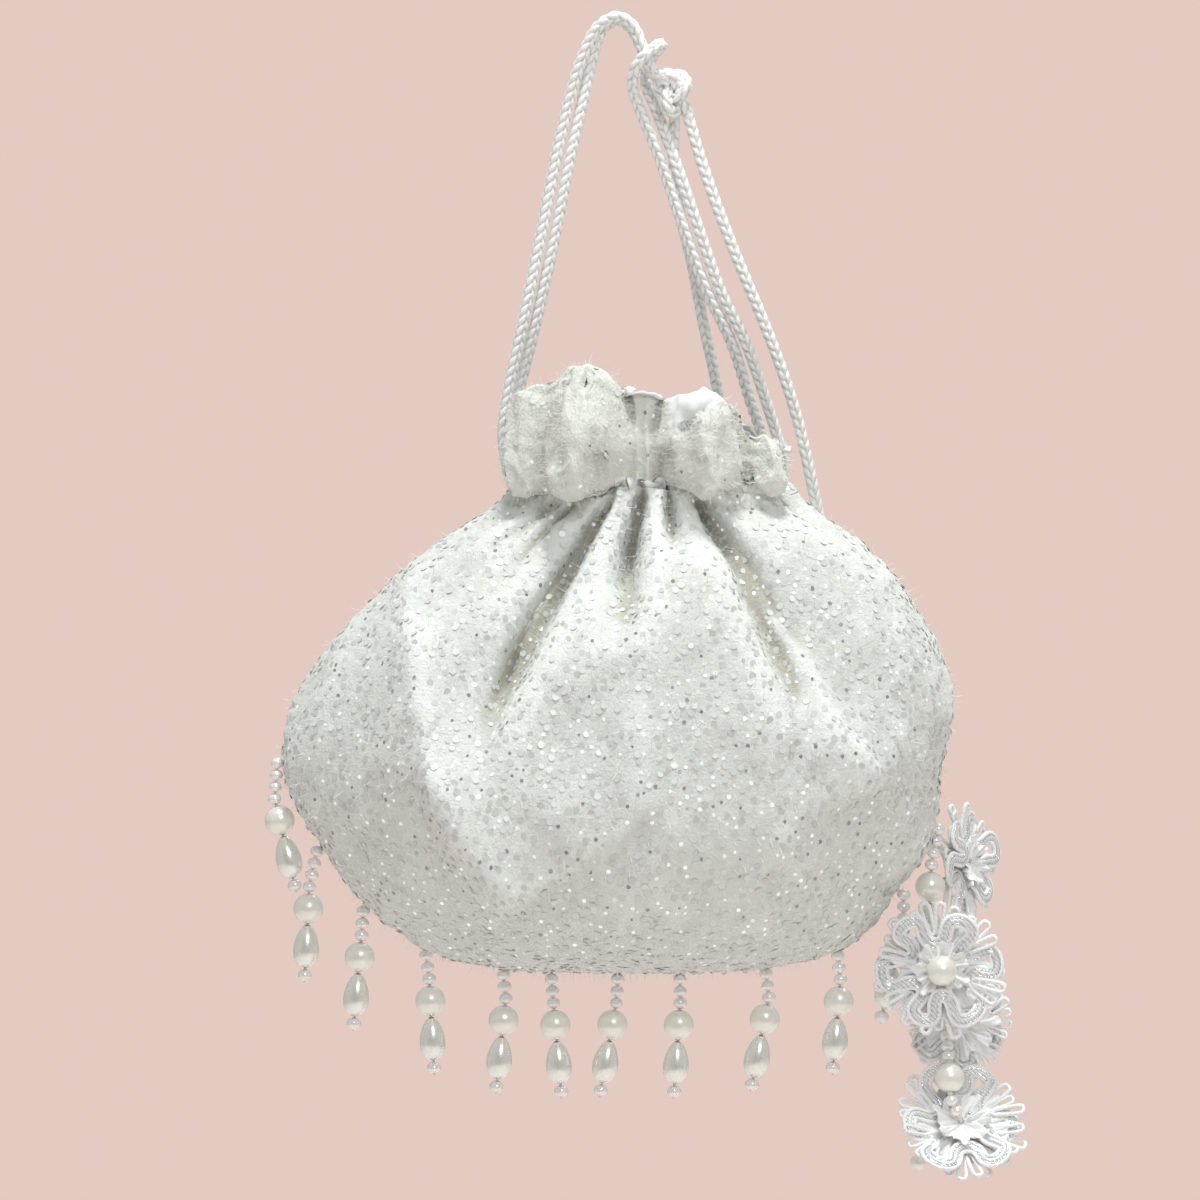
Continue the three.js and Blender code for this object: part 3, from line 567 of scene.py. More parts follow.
def lobe_at(angle):
    """The frill's reach, rise, hang, sideways spread and pinch round the neck."""
    full = np.zeros_like(angle)
    reach, rise, hang, widen = (np.zeros_like(angle) for _ in range(4))
    for at, spread, far, high, low in LOBES:
        off = (angle - math.radians(at) + math.pi) % (2 * math.pi) - math.pi
        off = off / math.radians(spread)
        weight = np.exp(-off * off)
        full += weight
        reach += weight * far
        rise += weight * high
        hang += weight * low
        widen += weight * off * min(1, far)
    held = np.minimum(1, full)
    reach = FRILL_REACH * reach / full * held
    rise = FRILL_HEIGHT * rise / full * (0.8 + 0.2 * held)
    return reach, rise, MM * hang / full * held**2, LOBE_WIDEN * widen, FRILL_PINCH * (1 - held)


waves = np.random.default_rng(5)


def ripples(points, size, count=14):
    """Gentle uneven ripples of about that size, from -1 to 1."""
    total = np.zeros(points.shape[:-1])
    for _ in range(count):
        way = waves.normal(size=3)
        way *= 2 * math.pi / size / np.linalg.norm(way) * waves.uniform(0.6, 1.5)
        total += np.sin(points @ way + waves.uniform(0, 2 * math.pi))
    return total / math.sqrt(count)


def gathers(angle, level):
    """Narrow pleats drawn up by the cords, finest at the middle of the front."""
    middle = np.exp(-(((angle - math.radians(97)) / 0.24) ** 2))
    up_fade = 1 - soft_step(-level / (0.35 + 0.45 * middle))
    fade = np.where(level < 0, up_fade, np.exp(-((level / (0.13 - 0.05 * middle)) ** 2)))
    turn = angle + 0.1 * np.sin(3 * angle) + 0.03 * np.sin(11 * angle)
    wide = 0.5 - 0.5 * np.cos(17 * turn)
    fine = 0.5 - 0.5 * np.cos(46 * turn)
    return MM * fade * (2.6 * wide**1.4 * (1 - middle) + (0.4 * wide + 1.5 * fine) * middle)


def cloth_at(angle, level):
    """Points of the cloth before its small creases. level is 0 to 1 down the pouch, and to -1 up the frill."""
    drop = np.maximum(level, 0)
    neck = section("neck", drop)
    centre = section("centre", drop) * BAG_WIDTH / 2
    half = (neck * NECK_WIDTH + section("width", drop) * BAG_WIDTH) / 2
    front = neck * NECK_DEPTH / 2 + section("front", drop) * BAG_DEPTH
    back = neck * NECK_DEPTH / 2 + section("back", drop) * BAG_DEPTH
    side = np.sin(angle)
    depth = np.where(side > 0, front, back)
    out = np.stack([np.cos(angle) / half, -side / depth, np.zeros_like(side)], -1)
    out /= np.linalg.norm(out, axis=-1, keepdims=True)
    fuller = soft_step(np.cos(angle) / 0.5) * (side > 0) * soft_step(drop / 0.1) * (1 - soft_step((drop - 0.45) / 0.35))
    pinch = np.sign(side) * np.abs(side) ** (SIDE_PINCH - 0.42 * fuller)
    up = np.maximum(-level, 0)
    reach, rise, hang, widen, pinch_in = lobe_at(angle)
    early, late = 3 * (1 - up) ** 2 * up, 3 * (1 - up) * up**2
    puff = reach * (1.4 * early + 1.3 * late + 0.12 * up**3) - pinch_in * soft_step(up / 0.3)
    push = np.where(level < 0, puff - fold_at(angle, 0 * level) * (1 - soft_step(up / 0.3)), -fold_at(angle, level))
    push = push - gathers(angle, level)
    climb = rise * (0.18 * early + 1.12 * late + 0.94 * up**3) - 2.6 * hang * early
    z = -HANG_DROP - drop * BODY_HEIGHT + climb
    z = z + MM * 1.6 * np.exp(-(((level - 0.01) / 0.06) ** 2)) * np.sin(5 * angle + 1.3 * np.sin(2 * angle))
    points = np.stack([centre + half * np.cos(angle), -depth * pinch, z], -1)
    around = np.stack([-half * side, -depth * np.cos(angle), np.zeros_like(side)], -1)
    around /= np.linalg.norm(around, axis=-1, keepdims=True)
    spread = widen * np.sin(math.pi * np.clip(up, 0, 1) ** 0.8)
    return points + out * push[..., None] + around * spread[..., None], out


def creased(points, out):
    """The front with its creases pressed in and its ridges raised, and how far each point is on a ridge."""
    moved = points.copy()
    raised = np.zeros(points.shape[:-1])
    front = out[..., 1] < -0.12
    flat = points[..., [0, 2]]
    for width, depth, close, fade, lean, line in CREASES:
        path = smooth_route([(x, 0, z) for x, z in line], 1.5 * MM)[:, [0, 2]]
        along = np.gradient(path, axis=0)
        best = np.full(flat.shape[:-1], 1e9)
        share, side = np.zeros_like(best), np.zeros_like(best)
        away = np.zeros_like(flat)
        for k, spot in enumerate(path):
            gap = flat - spot
            far = np.linalg.norm(gap, axis=-1)
            near = far < best
            best = np.where(near, far, best)
            share = np.where(near, k / (len(path) - 1), share)
            away = np.where(near[..., None], gap, away)
            side = np.where(near, np.sign(along[k, 0] * gap[..., 1] - along[k, 1] * gap[..., 0]), side)
        shown = np.minimum(soft_step((share + 0.1) / 0.3), 1 - soft_step((share - fade) / (1 - fade))) * front
        off = best / (width * MM * (1 + lean * side) * (1 if depth < 0 else 1 + 1.2 * share))
        ridge = np.exp(-1.3 * (np.sqrt(off**2 + 0.04) - 0.2))
        sink = depth * MM * shown * (ridge if depth < 0 else 1 / (1 + off**2) ** 1.5)
        moved -= out * sink[..., None]
        raised = np.maximum(raised, ridge * shown * (depth < 0))
        lip = close * shown * np.exp(-((off / 1.6) ** 2))
        moved[..., [0, 2]] -= away * (0.55 * lip)[..., None]
    return moved, raised


def outward(points):
    """The way out of the cloth at each point of a grid that closes round its columns."""
    around = np.roll(points, -1, 1) - np.roll(points, 1, 1)
    down = np.gradient(points, axis=0)
    way = np.cross(around, down)
    way /= np.linalg.norm(way, axis=-1, keepdims=True)
    return way * np.sign(np.sum(way * (points - points.mean(axis=1, keepdims=True))))


def smoothed(points, rows, columns):
    """The grid averaged over that many rows and columns each way."""
    total = np.zeros_like(points)
    for k in range(-columns, columns + 1):
        total += np.roll(points, k, 1)
    sums = np.cumsum(np.concatenate([np.zeros_like(total[:1]), total]), axis=0)
    low = np.maximum(0, np.arange(len(points)) - rows)
    high = np.minimum(len(points), np.arange(len(points)) + rows + 1)
    return (sums[high] - sums[low]) / ((high - low)[:, None, None] * (2 * columns + 1))


FRONT_COLUMNS = 290
BACK_COLUMNS = 100
FRILL_ROWS = 48
BODY_ROWS = 126
# The back has wider folds and about a third as many columns.
angles = np.concatenate([
    np.linspace(0, math.pi, FRONT_COLUMNS, endpoint=False),
    np.linspace(math.pi, 2 * math.pi, BACK_COLUMNS, endpoint=False),
])
frill_rows = -np.linspace(1, 0, FRILL_ROWS, endpoint=False)
body_rows = 0.5 - 0.5 * np.cos(math.pi * np.linspace(0, 1, BODY_ROWS))
levels = np.concatenate([frill_rows, body_rows])
angle_grid, level_grid = np.meshgrid(angles, levels)
outside, out_way = cloth_at(angle_grid, level_grid)
outside, raised = creased(outside, out_way)
soft = np.minimum(1, (1 - level_grid) / 0.12)
rolling = 0.8 * ripples(outside, 34 * MM) + 0.28 * ripples(outside, 13 * MM)
outside += out_way * (MM * soft * rolling)[..., None]
# The frill is crumpled, most across its lobes, except where it dips at the middle of the front.
on_frill = soft_step(-level_grid / 0.14)
drawn = np.stack([outside[..., 0] + 0.35 * outside[..., 2], outside[..., 1], 0.42 * outside[..., 2]], -1)
crumple = -np.abs(ripples(drawn, 18 * MM)) ** 0.7 * 1.9
crumple = crumple + 0.45 * ripples(drawn, 9 * MM) + 0.22 * ripples(outside, 5 * MM)
crumple *= 1 - np.exp(-(((angle_grid - math.radians(96)) / 0.22) ** 2))
outside += outward(outside) * (MM * on_frill * crumple)[..., None]
# The seam puckers the cloth at the sides and along the bottom.
near_seam = np.exp(-((np.sin(angle_grid) / 0.2) ** 2)) * (level_grid > 0.08)
pucker = np.sin(level_grid * 190 + 1.5 * np.sin(level_grid * 31))
outside += out_way * (MM * 0.45 * near_seam * pucker)[..., None]
low = np.exp(-(((1 - level_grid) / 0.05) ** 2)) * (np.abs(np.sin(angle_grid)) > 0.05)
outside += out_way * (MM * 0.4 * low * np.sin(angle_grid * 90 + 2 * np.sin(angle_grid * 17)))[..., None]

# The lining follows the outside at the cloth's thickness, with a third of its rows.
inner_levels = np.concatenate([frill_rows[::3], body_rows[::3] * (1 - BOTTOM_WALL / BODY_HEIGHT)])
at_row = np.interp(inner_levels, levels, np.arange(len(levels)))
row = np.minimum(at_row.astype(int), len(levels) - 2)
part = (at_row - row)[:, None, None]
inside = outside[row] * (1 - part) + outside[row + 1] * part
wall = np.where(inner_levels < 0, CLOTH_T, CLOTH_T + 0.8 * MM)
inside = inside - outward(inside) * wall[:, None, None]

# How deep in a hollow and how high on a crest each point of the front is. The cloth's colour is painted darker and
# warmer in the hollows as painted shade, and lighter on the crests and ridges as painted highlight.
turn_out = outward(outside)
wide_hollow, narrow_hollow, broad_hollow = (
    np.sum((smoothed(outside, *reach) - outside) * turn_out, axis=-1) for reach in ((5, 9), (2, 3), (10, 18))
)
before_seam = outside[..., 1] < 0
high = (1 - soft_step((level_grid - 0.4) / 0.2)) * (1 - 0.55 * on_frill) * before_seam
hollow = broad_hollow / (5 * MM) + wide_hollow / (3 * MM) + narrow_hollow / (1.4 * MM)
hollow = soft_step((hollow - 0.06) / 1.15) * high
crest = np.clip(-wide_hollow / (1.1 * MM) - 0.15, 0, 1) * soft * (1 - 0.6 * on_frill) * before_seam
crest = np.maximum(crest, np.clip(0.9 * raised * np.clip((level_grid - 0.2) / 0.5, 0, 1), 0, 1))


def grid_faces(rows, columns):
    """The faces of a grid of points that closes round its columns."""
    faces = []
    for r in range(rows - 1):
        for k in range(columns):
            n = (k + 1) % columns
            faces.append((r * columns + k, (r + 1) * columns + k, (r + 1) * columns + n, r * columns + n))
    return faces


rings = np.concatenate([inside[::-1], outside])
columns = len(angles)
corners = rings.reshape(-1, 3)
faces = grid_faces(len(rings), columns)
pole_in = len(corners)
pole_out = pole_in + 1
corners = np.vstack([corners, rings[0].mean(0), rings[-1].mean(0)])
top = (len(rings) - 1) * columns
for k in range(columns):
    n = (k + 1) % columns
    faces.append((k, n, pole_in))
    faces.append((top + n, top + k, pole_out))


def solid_piece(name, points, faces, material):
    """A closed smooth mesh with its faces pointing out."""
    mesh = bpy.data.meshes.new(name)
    mesh.from_pydata(np.asarray(points).tolist(), [], faces)
    mesh.validate()
    mesh.materials.append(material)
    mesh.polygons.foreach_set("use_smooth", [True] * len(mesh.polygons))
    co = np.zeros(3 * len(mesh.vertices))
    mesh.vertices.foreach_get("co", co)
    co = co.reshape(-1, 3)
    mesh.calc_loop_triangles()
    index = np.zeros(3 * len(mesh.loop_triangles), int)
    mesh.loop_triangles.foreach_get("vertices", index)
    a, b, c = (co[index[i::3]] for i in range(3))
    if np.sum(a * np.cross(b, c)) < 0:
        mesh.flip_normals()
    return placed(name, mesh)


def cloth_finish(g):
    """White cloth under fine net: woolly lumps and fibres, faint rows of the weave, a smooth lining, painted shade in
    the hollows of the front and painted highlight on its crests.
    """
    where = g.place()
    lining, frill, hollow, crest = (g.mark(label) for label in ("lining", "frill", "hollow", "crest"))
    cloud = g.noise(where, 24 * MM, 3)
    lumps = g.noise(where, 3.2 * MM, 3)
    fuzz = g.noise(where, 1.0 * MM, 4)
    cells = {"Vector": where, "Scale": 1 / (0.85 * MM)}
    net = g.node("ShaderNodeTexVoronoi", {"feature": "DISTANCE_TO_EDGE"}, cells).out("Distance")
    thread = g.scaled(net, (0.02, 0.12), (1.0, 0.0))
    rows = {"Vector": where, "Scale": 250.0, "Distortion": 3.0, "Detail": 2.0}
    bent = g.node("ShaderNodeTexWave", {"bands_direction": "Z"}, rows)
    base = g.mix(cloud, (0.69, 0.71, 0.675), (0.755, 0.775, 0.75))
    # The crests of the front get a painted highlight, and its hollows a painted shade, dark and warm.
    for share, tone in (
        (g.scaled(lumps, (0.3, 0.7)), (0.80, 0.82, 0.795)), (frill * 0.6, (0.81, 0.815, 0.745)),
        (crest * 0.8, (0.935, 0.965, 0.945)), (hollow, (0.50, 0.495, 0.43)), (lining, (0.86, 0.875, 0.875)),
    ):
        base = g.mix(share, base, tone)
    height = lumps * (1.3 + frill * 0.7) + fuzz * (0.8 + frill * 0.4) + thread * 0.12 + bent * 0.035
    return {
        "Base Color": base, "Roughness": g.scaled(lining, wanted=(0.86, 0.5)),
        "Normal": g.bump(height * (1 - lining * 0.85), 0.75, 0.55 * MM),
        "Sheen Weight": 0.3, "Sheen Roughness": 0.5, "Specular IOR Level": 0.3,
        "Subsurface Weight": 0.12, "Subsurface Radius": (0.003, 0.0027, 0.0024),
    }


cloth = finish("glitter_cloth", cloth_finish)
pouch = solid_piece("pouch", corners, faces, cloth)
# One lobe at the right is turned over in the real bag; here the cloth above a slanting line only takes the lining's
# finish, without spangles or fibres.
x, z = outside[..., 0] / MM, outside[..., 2] / MM
over_line = soft_step((z - (-123 + (x - 15.5) * 0.686)) / 1.6) * soft_step((x - 14) / 2) * soft_step((36 - x) / 2)
turned_out = over_line * before_seam * (level_grid < -0.3)
inner_count = len(inside) * columns
# The hollow and crest marks carry the painted shade and the painted highlight to the cloth's finish.
marks = {"lining": (1, turned_out), "frill": (0, on_frill), "hollow": (0, hollow), "crest": (0, crest)}
for label, (inner, outer) in marks.items():
    numbers = np.concatenate([np.full(inner_count, inner), outer.ravel(), [inner, 0]])
    mark = pouch.data.attributes.new(label, "FLOAT", "POINT")
    mark.data.foreach_set("value", numbers.astype(np.float32))
for label, outer in (("outer", 1 - 0.65 * on_frill), ("woolly", 0.2 + 0.8 * on_frill)):
    numbers = np.zeros(len(pouch.data.polygons), np.float32)
    numbers[inner_count : (len(rings) - 1) * columns] = (outer * (1 - turned_out))[:-1].ravel()
    pouch.data.attributes.new(label, "FLOAT", "FACE").data.foreach_set("value", numbers)
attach(pouch, "root")
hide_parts("bag_shell")

# The spangles
# Clear round spangles about 2 mm across, held by the net, lie all over the outside. Each tips its own way; a few are
# painted dark in place of dark reflections, and a few small ones carry a painted glint that glows.
SPANGLE_D = 2.2 * MM
SPANGLE_GAP = 1.75 * MM
SPANGLE_LIFT = 0.14 * MM
# The random tint of a spangle, from 0 to 1, above which it is one of the larger ones.
LARGE_FROM = 0.36


def random(graph, low, high, seed):
    """A random number between two, or three of them, for each point."""
    if np.ndim(low):
        return graph.node("FunctionNodeRandomValue", {"data_type": "FLOAT_VECTOR"}, {0: low, 1: high, "Seed": seed})
    return graph.node("FunctionNodeRandomValue", {"data_type": "FLOAT"}, {2: low, 3: high, "Seed": seed}).out(1)


def spread_over(g, given, label, densest, seed):
    """Points over the faces, as dense as their number of that name says, and a gap apart or more."""
    values = {
        "Mesh": given.out("Geometry"), "Distance Min": given.out("Gap"), "Density Max": densest,
        "Density Factor": named(g, label), "Seed": seed,
    }
    return g.node("GeometryNodeDistributePointsOnFaces", {"distribute_method": "POISSON"}, values)


def tipped(g, points, low, high, seed):
    """The way that each point faces, tipped by random angles."""
    tilt = g.node("FunctionNodeEulerToRotation", {}, {0: random(g, low, high, seed)})
    values = {0: points.out("Rotation"), 1: tilt}
    return g.node("FunctionNodeRotateRotation", {"rotation_space": "LOCAL"}, values)


def copies(g, points, shape, facing, size):
    values = {"Points": points, "Instance": shape, "Rotation": facing, "Scale": size}
    return g.node("GeometryNodeInstanceOnPoints", {}, values)


def scattered(g, given):
    """Small thin discs spread over the faces by their number outer."""
    points = spread_over(g, given, "outer", 190000.0, 4)
    facing = tipped(g, points, (-0.22, -0.22, 0), (0.22, 0.22, 6.28), 9)
    kept = stored(g, points.out("Points"), "tint", random(g, 0.0, 1.0, 12))
    size = random(g, 0.4, 0.62, 3) + (named(g, "tint") > LARGE_FROM) * 0.4
    disc = g.node("GeometryNodeMeshCircle", {"fill_type": "NGON"}, {"Vertices": 8, "Radius": given.out("Width") / 2})
    lifted = g.node("GeometryNodeTransform", {}, {"Geometry": disc, "Translation": (0, 0, SPANGLE_LIFT)})
    return copies(g, kept, lifted, facing, size)


spangler, given = maker("spangles", {"Width": "Float", "Gap": "Float", "Finish": "Material"})
end_tree(spangler, painted(spangler, scattered(spangler, given), given.out("Finish")))


def spangle_finish(g):
    """Clear discs by their tint: a few painted dark as dark reflections, many small ones painted bright with a painted
    glint that glows, and the large ones a soft grey.
    """
    tint = g.mark("tint")
    # The darkest stops are painted reflections, and the bright small stops painted highlights.
    colours = [
        (0.0, (0.27, 0.28, 0.28)), (0.07, (0.34, 0.35, 0.35)), (0.1, (0.82, 0.84, 0.82)), (0.34, (0.92, 0.93, 0.92)),
        (0.37, (0.64, 0.655, 0.635)), (1.0, (0.80, 0.815, 0.80)),
    ]
    # Painted glints: these small spangles glow by emission, though they are no lamp.
    painted_glint_stops = [
        (0.0, (0.0, 0.0, 0.0)), (0.1, (0.02, 0.02, 0.02)), (0.12, (1.0, 1.0, 1.0)), (0.24, (0.6, 0.62, 0.62)),
        (0.34, (0.0, 0.0, 0.0)),
    ]
    colour, painted_glint = (g.node("ShaderNodeValToRGB", {"stops": stops}, {0: tint}) for stops in (colours, painted_glint_stops))
    large = tint > LARGE_FROM
    return {
        "Base Color": colour, "Roughness": large * 0.25 + 0.2, "Specular IOR Level": 0.6, "Metallic": 0.1,
        "Coat Weight": 0.7 - large * 0.5, "Coat Roughness": 0.1, "Emission Color": painted_glint, "Emission Strength": 0.4,
    }


spangles = placed("spangles", pouch.data.copy())
spangle_sizes = {"Width": SPANGLE_D, "Gap": SPANGLE_GAP, "Finish": finish("clear_spangle", spangle_finish)}
made_by(spangles, spangler, spangle_sizes)
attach(spangles, "root")

# The woolly fibres
# Short bent fibres stand out of the brushed cloth, thickest over the frill, and soften its outline.
# Each is a thin strip that narrows to its tip.
FIBRE_GAP = 0.75 * MM


def fibred(g, given):
    """Thin bent strips that stand out of the faces by their number woolly."""
    points = spread_over(g, given, "woolly", 1200000.0, 21)
    strip = g.node("GeometryNodeMeshGrid", {}, {"Size X": 1.0, "Size Y": 1.0, "Vertices X": 4, "Vertices Y": 2})
    spot = g.parts(g.node("GeometryNodeInputPosition"))
    out = spot.out("X") + 0.5
    bent = g.vector(out, spot.out("Y") * (0.05 - out * 0.03), out * out * 0.45)
    strip = g.node("GeometryNodeSetPosition", {}, {"Geometry": strip, "Position": bent})
    facing = tipped(g, points, (0, -0.9, 0), (0, -0.05, 6.28), 22)
    return copies(g, points.out("Points"), strip, facing, random(g, 1.2 * MM, 3.6 * MM, 23))


def fibre_finish(g):
    colour = g.mix(g.noise(g.place(), 6 * MM), (0.80, 0.80, 0.76), (0.92, 0.93, 0.91))
    return {"Base Color": colour, "Roughness": 0.8, "Sheen Weight": 0.5}


fibrer, given = maker("woolly_fibres", {"Gap": "Float", "Finish": "Material"})
end_tree(fibrer, painted(fibrer, fibred(fibrer, given), given.out("Finish")))
fibres = placed("fibres", pouch.data.copy())
made_by(fibres, fibrer, {"Gap": FIBRE_GAP, "Finish": finish("woolly_fibre", fibre_finish)})
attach(fibres, "root")

# The tassels
# Twelve strings hang from the seam. Each has a run of seed beads, a round pearl, a pearl drop and a
# small end bead, all plastic with a pearl coat, on white thread.
CLEAR = 0.3 * MM
SEED_D = 3.6 * MM
PEARL_D = 9 * MM
DROP_D = 8 * MM
DROP_LENGTH = 13 * MM
END_BEAD_D = 3.8 * MM
THREAD_D = 0.8 * MM
BORE_D = 1.6 * MM
SEAM_ROWS = 13
SEWN_IN = 0.8 * MM
# place along the seam, lean of the seeds and hang of the pearls in degrees, and the number of seeds
TASSELS = [
    (0.2336, -4, 13, 4), (0.294, -12, -3, 4), (0.3414, -4, -5, 3), (0.3877, 8, 3, 3), (0.4373, 6, -6, 3),
    (0.4675, 4, 5, 3), (0.5092, -4, -10, 3), (0.5483, 1, -4, 3), (0.6023, 7, -11, 3), (0.6482, 7, -5, 3),
    (0.7034, -1, -14, 4), (0.7492, -11, -3, 4),
]


def seam_points(shares):
    """Points of the seam, and the way out of the bag there, at shares of its length."""
    drops = 0.5 - 0.5 * np.cos(math.pi * np.arange(SEAM_ROWS + 1) / SEAM_ROWS)
    centre = section("centre", drops) * BAG_WIDTH / 2
    half = (section("neck", drops) * NECK_WIDTH + section("width", drops) * BAG_WIDTH) / 2
    z = -HANG_DROP - drops * BODY_HEIGHT
    line = np.vstack([np.stack([centre - half, z], 1), np.stack([centre + half, z], 1)[::-1]])
    gone = gone_along(line)
    found = []
    for share in shares:
        k = min(np.searchsorted(gone, share * gone[-1]) - 1, len(line) - 2)
        along = (line[k + 1] - line[k]) / (gone[k + 1] - gone[k])
        found.append((line[k] + along * (share * gone[-1] - gone[k]), np.array([along[1], -along[0]])))
    return found


def strung(g, given):
    """Beads on a thread: one at each point of the line whose number bead isn't 0, turned along it."""
    thread = tube_along(g, given.out("Geometry"), given.out("Thread Width") / 2, 6)
    ball = g.node("GeometryNodeMeshUVSphere", {}, {"Segments": 16, "Rings": 10, "Radius": given.out("Bead Width") / 2})
    ball = smoothly(g, g.node("GeometryNodeTransform", {}, {"Geometry": ball, "Scale": (1.14, 1.14, 0.98)}))
    way = g.node("FunctionNodeAlignRotationToVector", {"axis": "Z"}, {"Vector": named(g, "way", "FLOAT_VECTOR")})
    size = named(g, "bead")
    picked = g.node("FunctionNodeCompare", {"operation": "GREATER_THAN"}, {0: size, 1: 0.01})
    points = g.node("GeometryNodeMeshToPoints", {}, {"Mesh": given.out("Geometry"), "Selection": picked})
    beads = copies(g, points, ball, way, size * random(g, 0.94, 1.03, given.out("Seed")))
    joined = g.node("GeometryNodeJoinGeometry")
    for part in (painted(g, thread, given.out("Thread Finish")), painted(g, beads, given.out("Bead Finish"))):
        g.tree.links.new(part.socket, joined.made.inputs[0])
    return joined


string_inputs = {"Bead Width": "Float", "Thread Width": "Float", "Seed": "Int"}
stringer, given = maker("strung_beads", {**string_inputs, "Bead Finish": "Material", "Thread Finish": "Material"})
end_tree(stringer, strung(stringer, given))


def pearl_coat(light, shade, rough, mirror):
    """A pearl coat: a cream ground with fine cloudy grains under a clear gloss, which mirrors a little."""

    def build(g):
        cloudy = g.noise(g.place(), 2.0 * MM, 3)
        return {
            "Base Color": g.mix(cloudy, shade, light), "Metallic": mirror,
            "Roughness": g.scaled(cloudy, wanted=(rough * 0.8, rough * 1.25)),
            "Normal": g.bump(g.noise(g.place(), 0.7 * MM, 3), 0.06, 0.1 * MM),
            "Coat Weight": 0.7, "Coat Roughness": 0.08, "Specular IOR Level": 0.6,
            "Subsurface Weight": 0.2, "Subsurface Radius": (0.002, 0.0017, 0.0014),
        }

    return build


pearl_finish = finish("round_pearl", pearl_coat((0.98, 0.965, 0.91), (0.93, 0.90, 0.82), 0.3, 0.4))
drop_finish = finish("pearl_drop", pearl_coat((0.97, 0.97, 0.93), (0.90, 0.90, 0.85), 0.25, 0.72))
seed_finish = finish("seed_bead", pearl_coat((0.99, 0.955, 0.95), (0.95, 0.885, 0.88), 0.2, 0.35))


def thread_finish(g):
    twist = g.node("ShaderNodeTexWave", {}, {"Vector": g.place(), "Scale": 900.0, "Distortion": 2.0})
    colour = g.mix(twist, (0.78, 0.77, 0.75), (0.92, 0.91, 0.90))
    return {"Base Color": colour, "Roughness": 0.55, "Normal": g.bump(twist, 0.4, 0.05 * MM)}


white_thread = finish("white_thread", thread_finish)


def bead_shape(width, length, bore, taper=0.0, sides=28, rings=18):
    """A drilled bead about its middle, fuller below when it has a taper."""
    start = math.asin(bore / width)
    turns = np.linspace(start, math.pi - start, rings)
    full = 1 - taper * np.cos(turns) - taper / 4
    radius = width / 2 * np.sin(turns) * full
    radius[[0, -1]] = bore / 2
    profile = list(zip(radius, length / 2 * np.cos(turns)))
    points = []
    for r, z in profile:
        points += [(r * math.cos(a), r * math.sin(a), z) for a in np.linspace(0, 2 * math.pi, sides, endpoint=False)]
    faces = grid_faces(rings, sides)
    last = (rings - 1) * sides
    faces += [(k, (k + 1) % sides, last + (k + 1) % sides, last + k) for k in range(sides)]
    return np.array(points), faces


def bead_piece(name, at, way, shape, material, node):
    """A bead at a point, with its bore along way, in place of a CAD node."""
    points, faces = shape
    turn = Vector(-np.asarray(way)).to_track_quat("Z", "Y").to_matrix()
    bead = solid_piece(name, points @ np.array(turn).T + np.asarray(at), faces, material)
    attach(bead, "root")
    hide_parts(node)
    return bead


def hanging(degrees):
    return np.array([math.sin(math.radians(degrees)), 0, -math.cos(math.radians(degrees))])


pearl_shape = bead_shape(PEARL_D, PEARL_D, BORE_D)
drop_shape = bead_shape(DROP_D, DROP_LENGTH, BORE_D, 0.2)
beading = {
    "Bead Width": SEED_D, "Thread Width": THREAD_D, "Bead Finish": seed_finish, "Thread Finish": white_thread,
}
seams = seam_points([share for share, *_ in TASSELS])
for number, ((_, lean, hang, seeds), (at, out)) in enumerate(zip(TASSELS, seams), 1):
    tassel = f"tassel_{number:02d}"
    at, out = (np.array([pair[0], 0, pair[1]]) for pair in (at, out))
    down = hanging(hang)
    spots = [at + out * (SEED_D / 2 + CLEAR) + hanging(lean) * SEED_D * k for k in range(seeds)]
    pearl_at = SEED_D / 2 + CLEAR + PEARL_D / 2
    drop_at = pearl_at + PEARL_D / 2 + CLEAR + DROP_LENGTH / 2
    end_at = drop_at + DROP_LENGTH / 2 + CLEAR + END_BEAD_D / 2
    below = [spots[-1] + down * far for far in (pearl_at, end_at, end_at + END_BEAD_D * 0.55)]
    beads = np.array([0, *[1] * seeds, 0, END_BEAD_D / SEED_D, 0])
    ways = np.array([hanging(lean)] * (seeds + 1) + [down] * 3)
    path = np.array([at - out * SEWN_IN, *spots, *below])
    string = line_piece(f"{tassel}_beads", [path], values={"bead": beads, "way": ways})
    made_by(string, stringer, {**beading, "Seed": number})
    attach(string, "root")
    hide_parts(f"{tassel}_string")
    for label, far, shape, coat, slot, node in (
        ("round", pearl_at, pearl_shape, pearl_finish, "pearl", "pearl"),
        ("tear", drop_at, drop_shape, drop_finish, "pearl_drop", "drop"),
    ):
        bead_piece(f"{tassel}_{label}", spots[-1] + down * far, down, shape, coat, f"{tassel}_{node}")

# The ornament
# Four flowers of soutache braid hang on a thread from the ends of the tails. In each, a braid of two
# white cords about a silver-grey one runs in six lobes, over picot loops and crinkled cloth petals.
ROSETTE_R = 19 * MM
BRAID_WIDTH = 4.6 * MM
BRAID_T = 2.4 * MM
STRING_D = 1.6 * MM
ORNAMENT_END_D = 4.6 * MM
STRING = [
    (93, 15.1, -237.5), (99.6, 10, -251), (98.4, 3, -266), (100, -5.6, -281), (98.2, -2, -290),
    (98.4, 2, -298.6), (98.7, -4.4, -307.5), (98.8, -6.6, -313.4), (99, -8.6, -319.3),
    (102, -7, -327), (97, -5, -333.4), (91.6, -4, -337.6),
]
SILVER_DOT_D = 1.8 * MM
# point of the string, size, facing, tilt, spin, shift to its own right, cup, and if the string goes through
ROSETTES = [
    (1, 0.88, 58, 4, 10, 9, 0.1, 0), (3, 1.0, 2, 2, 6, -4.4, 0.06, 0),
    (5, 0.8, 178, 0, 24, -4.4, 0.08, 0), (9, 1.0, 6, 38, 0, 0, 0.2, 1),
]


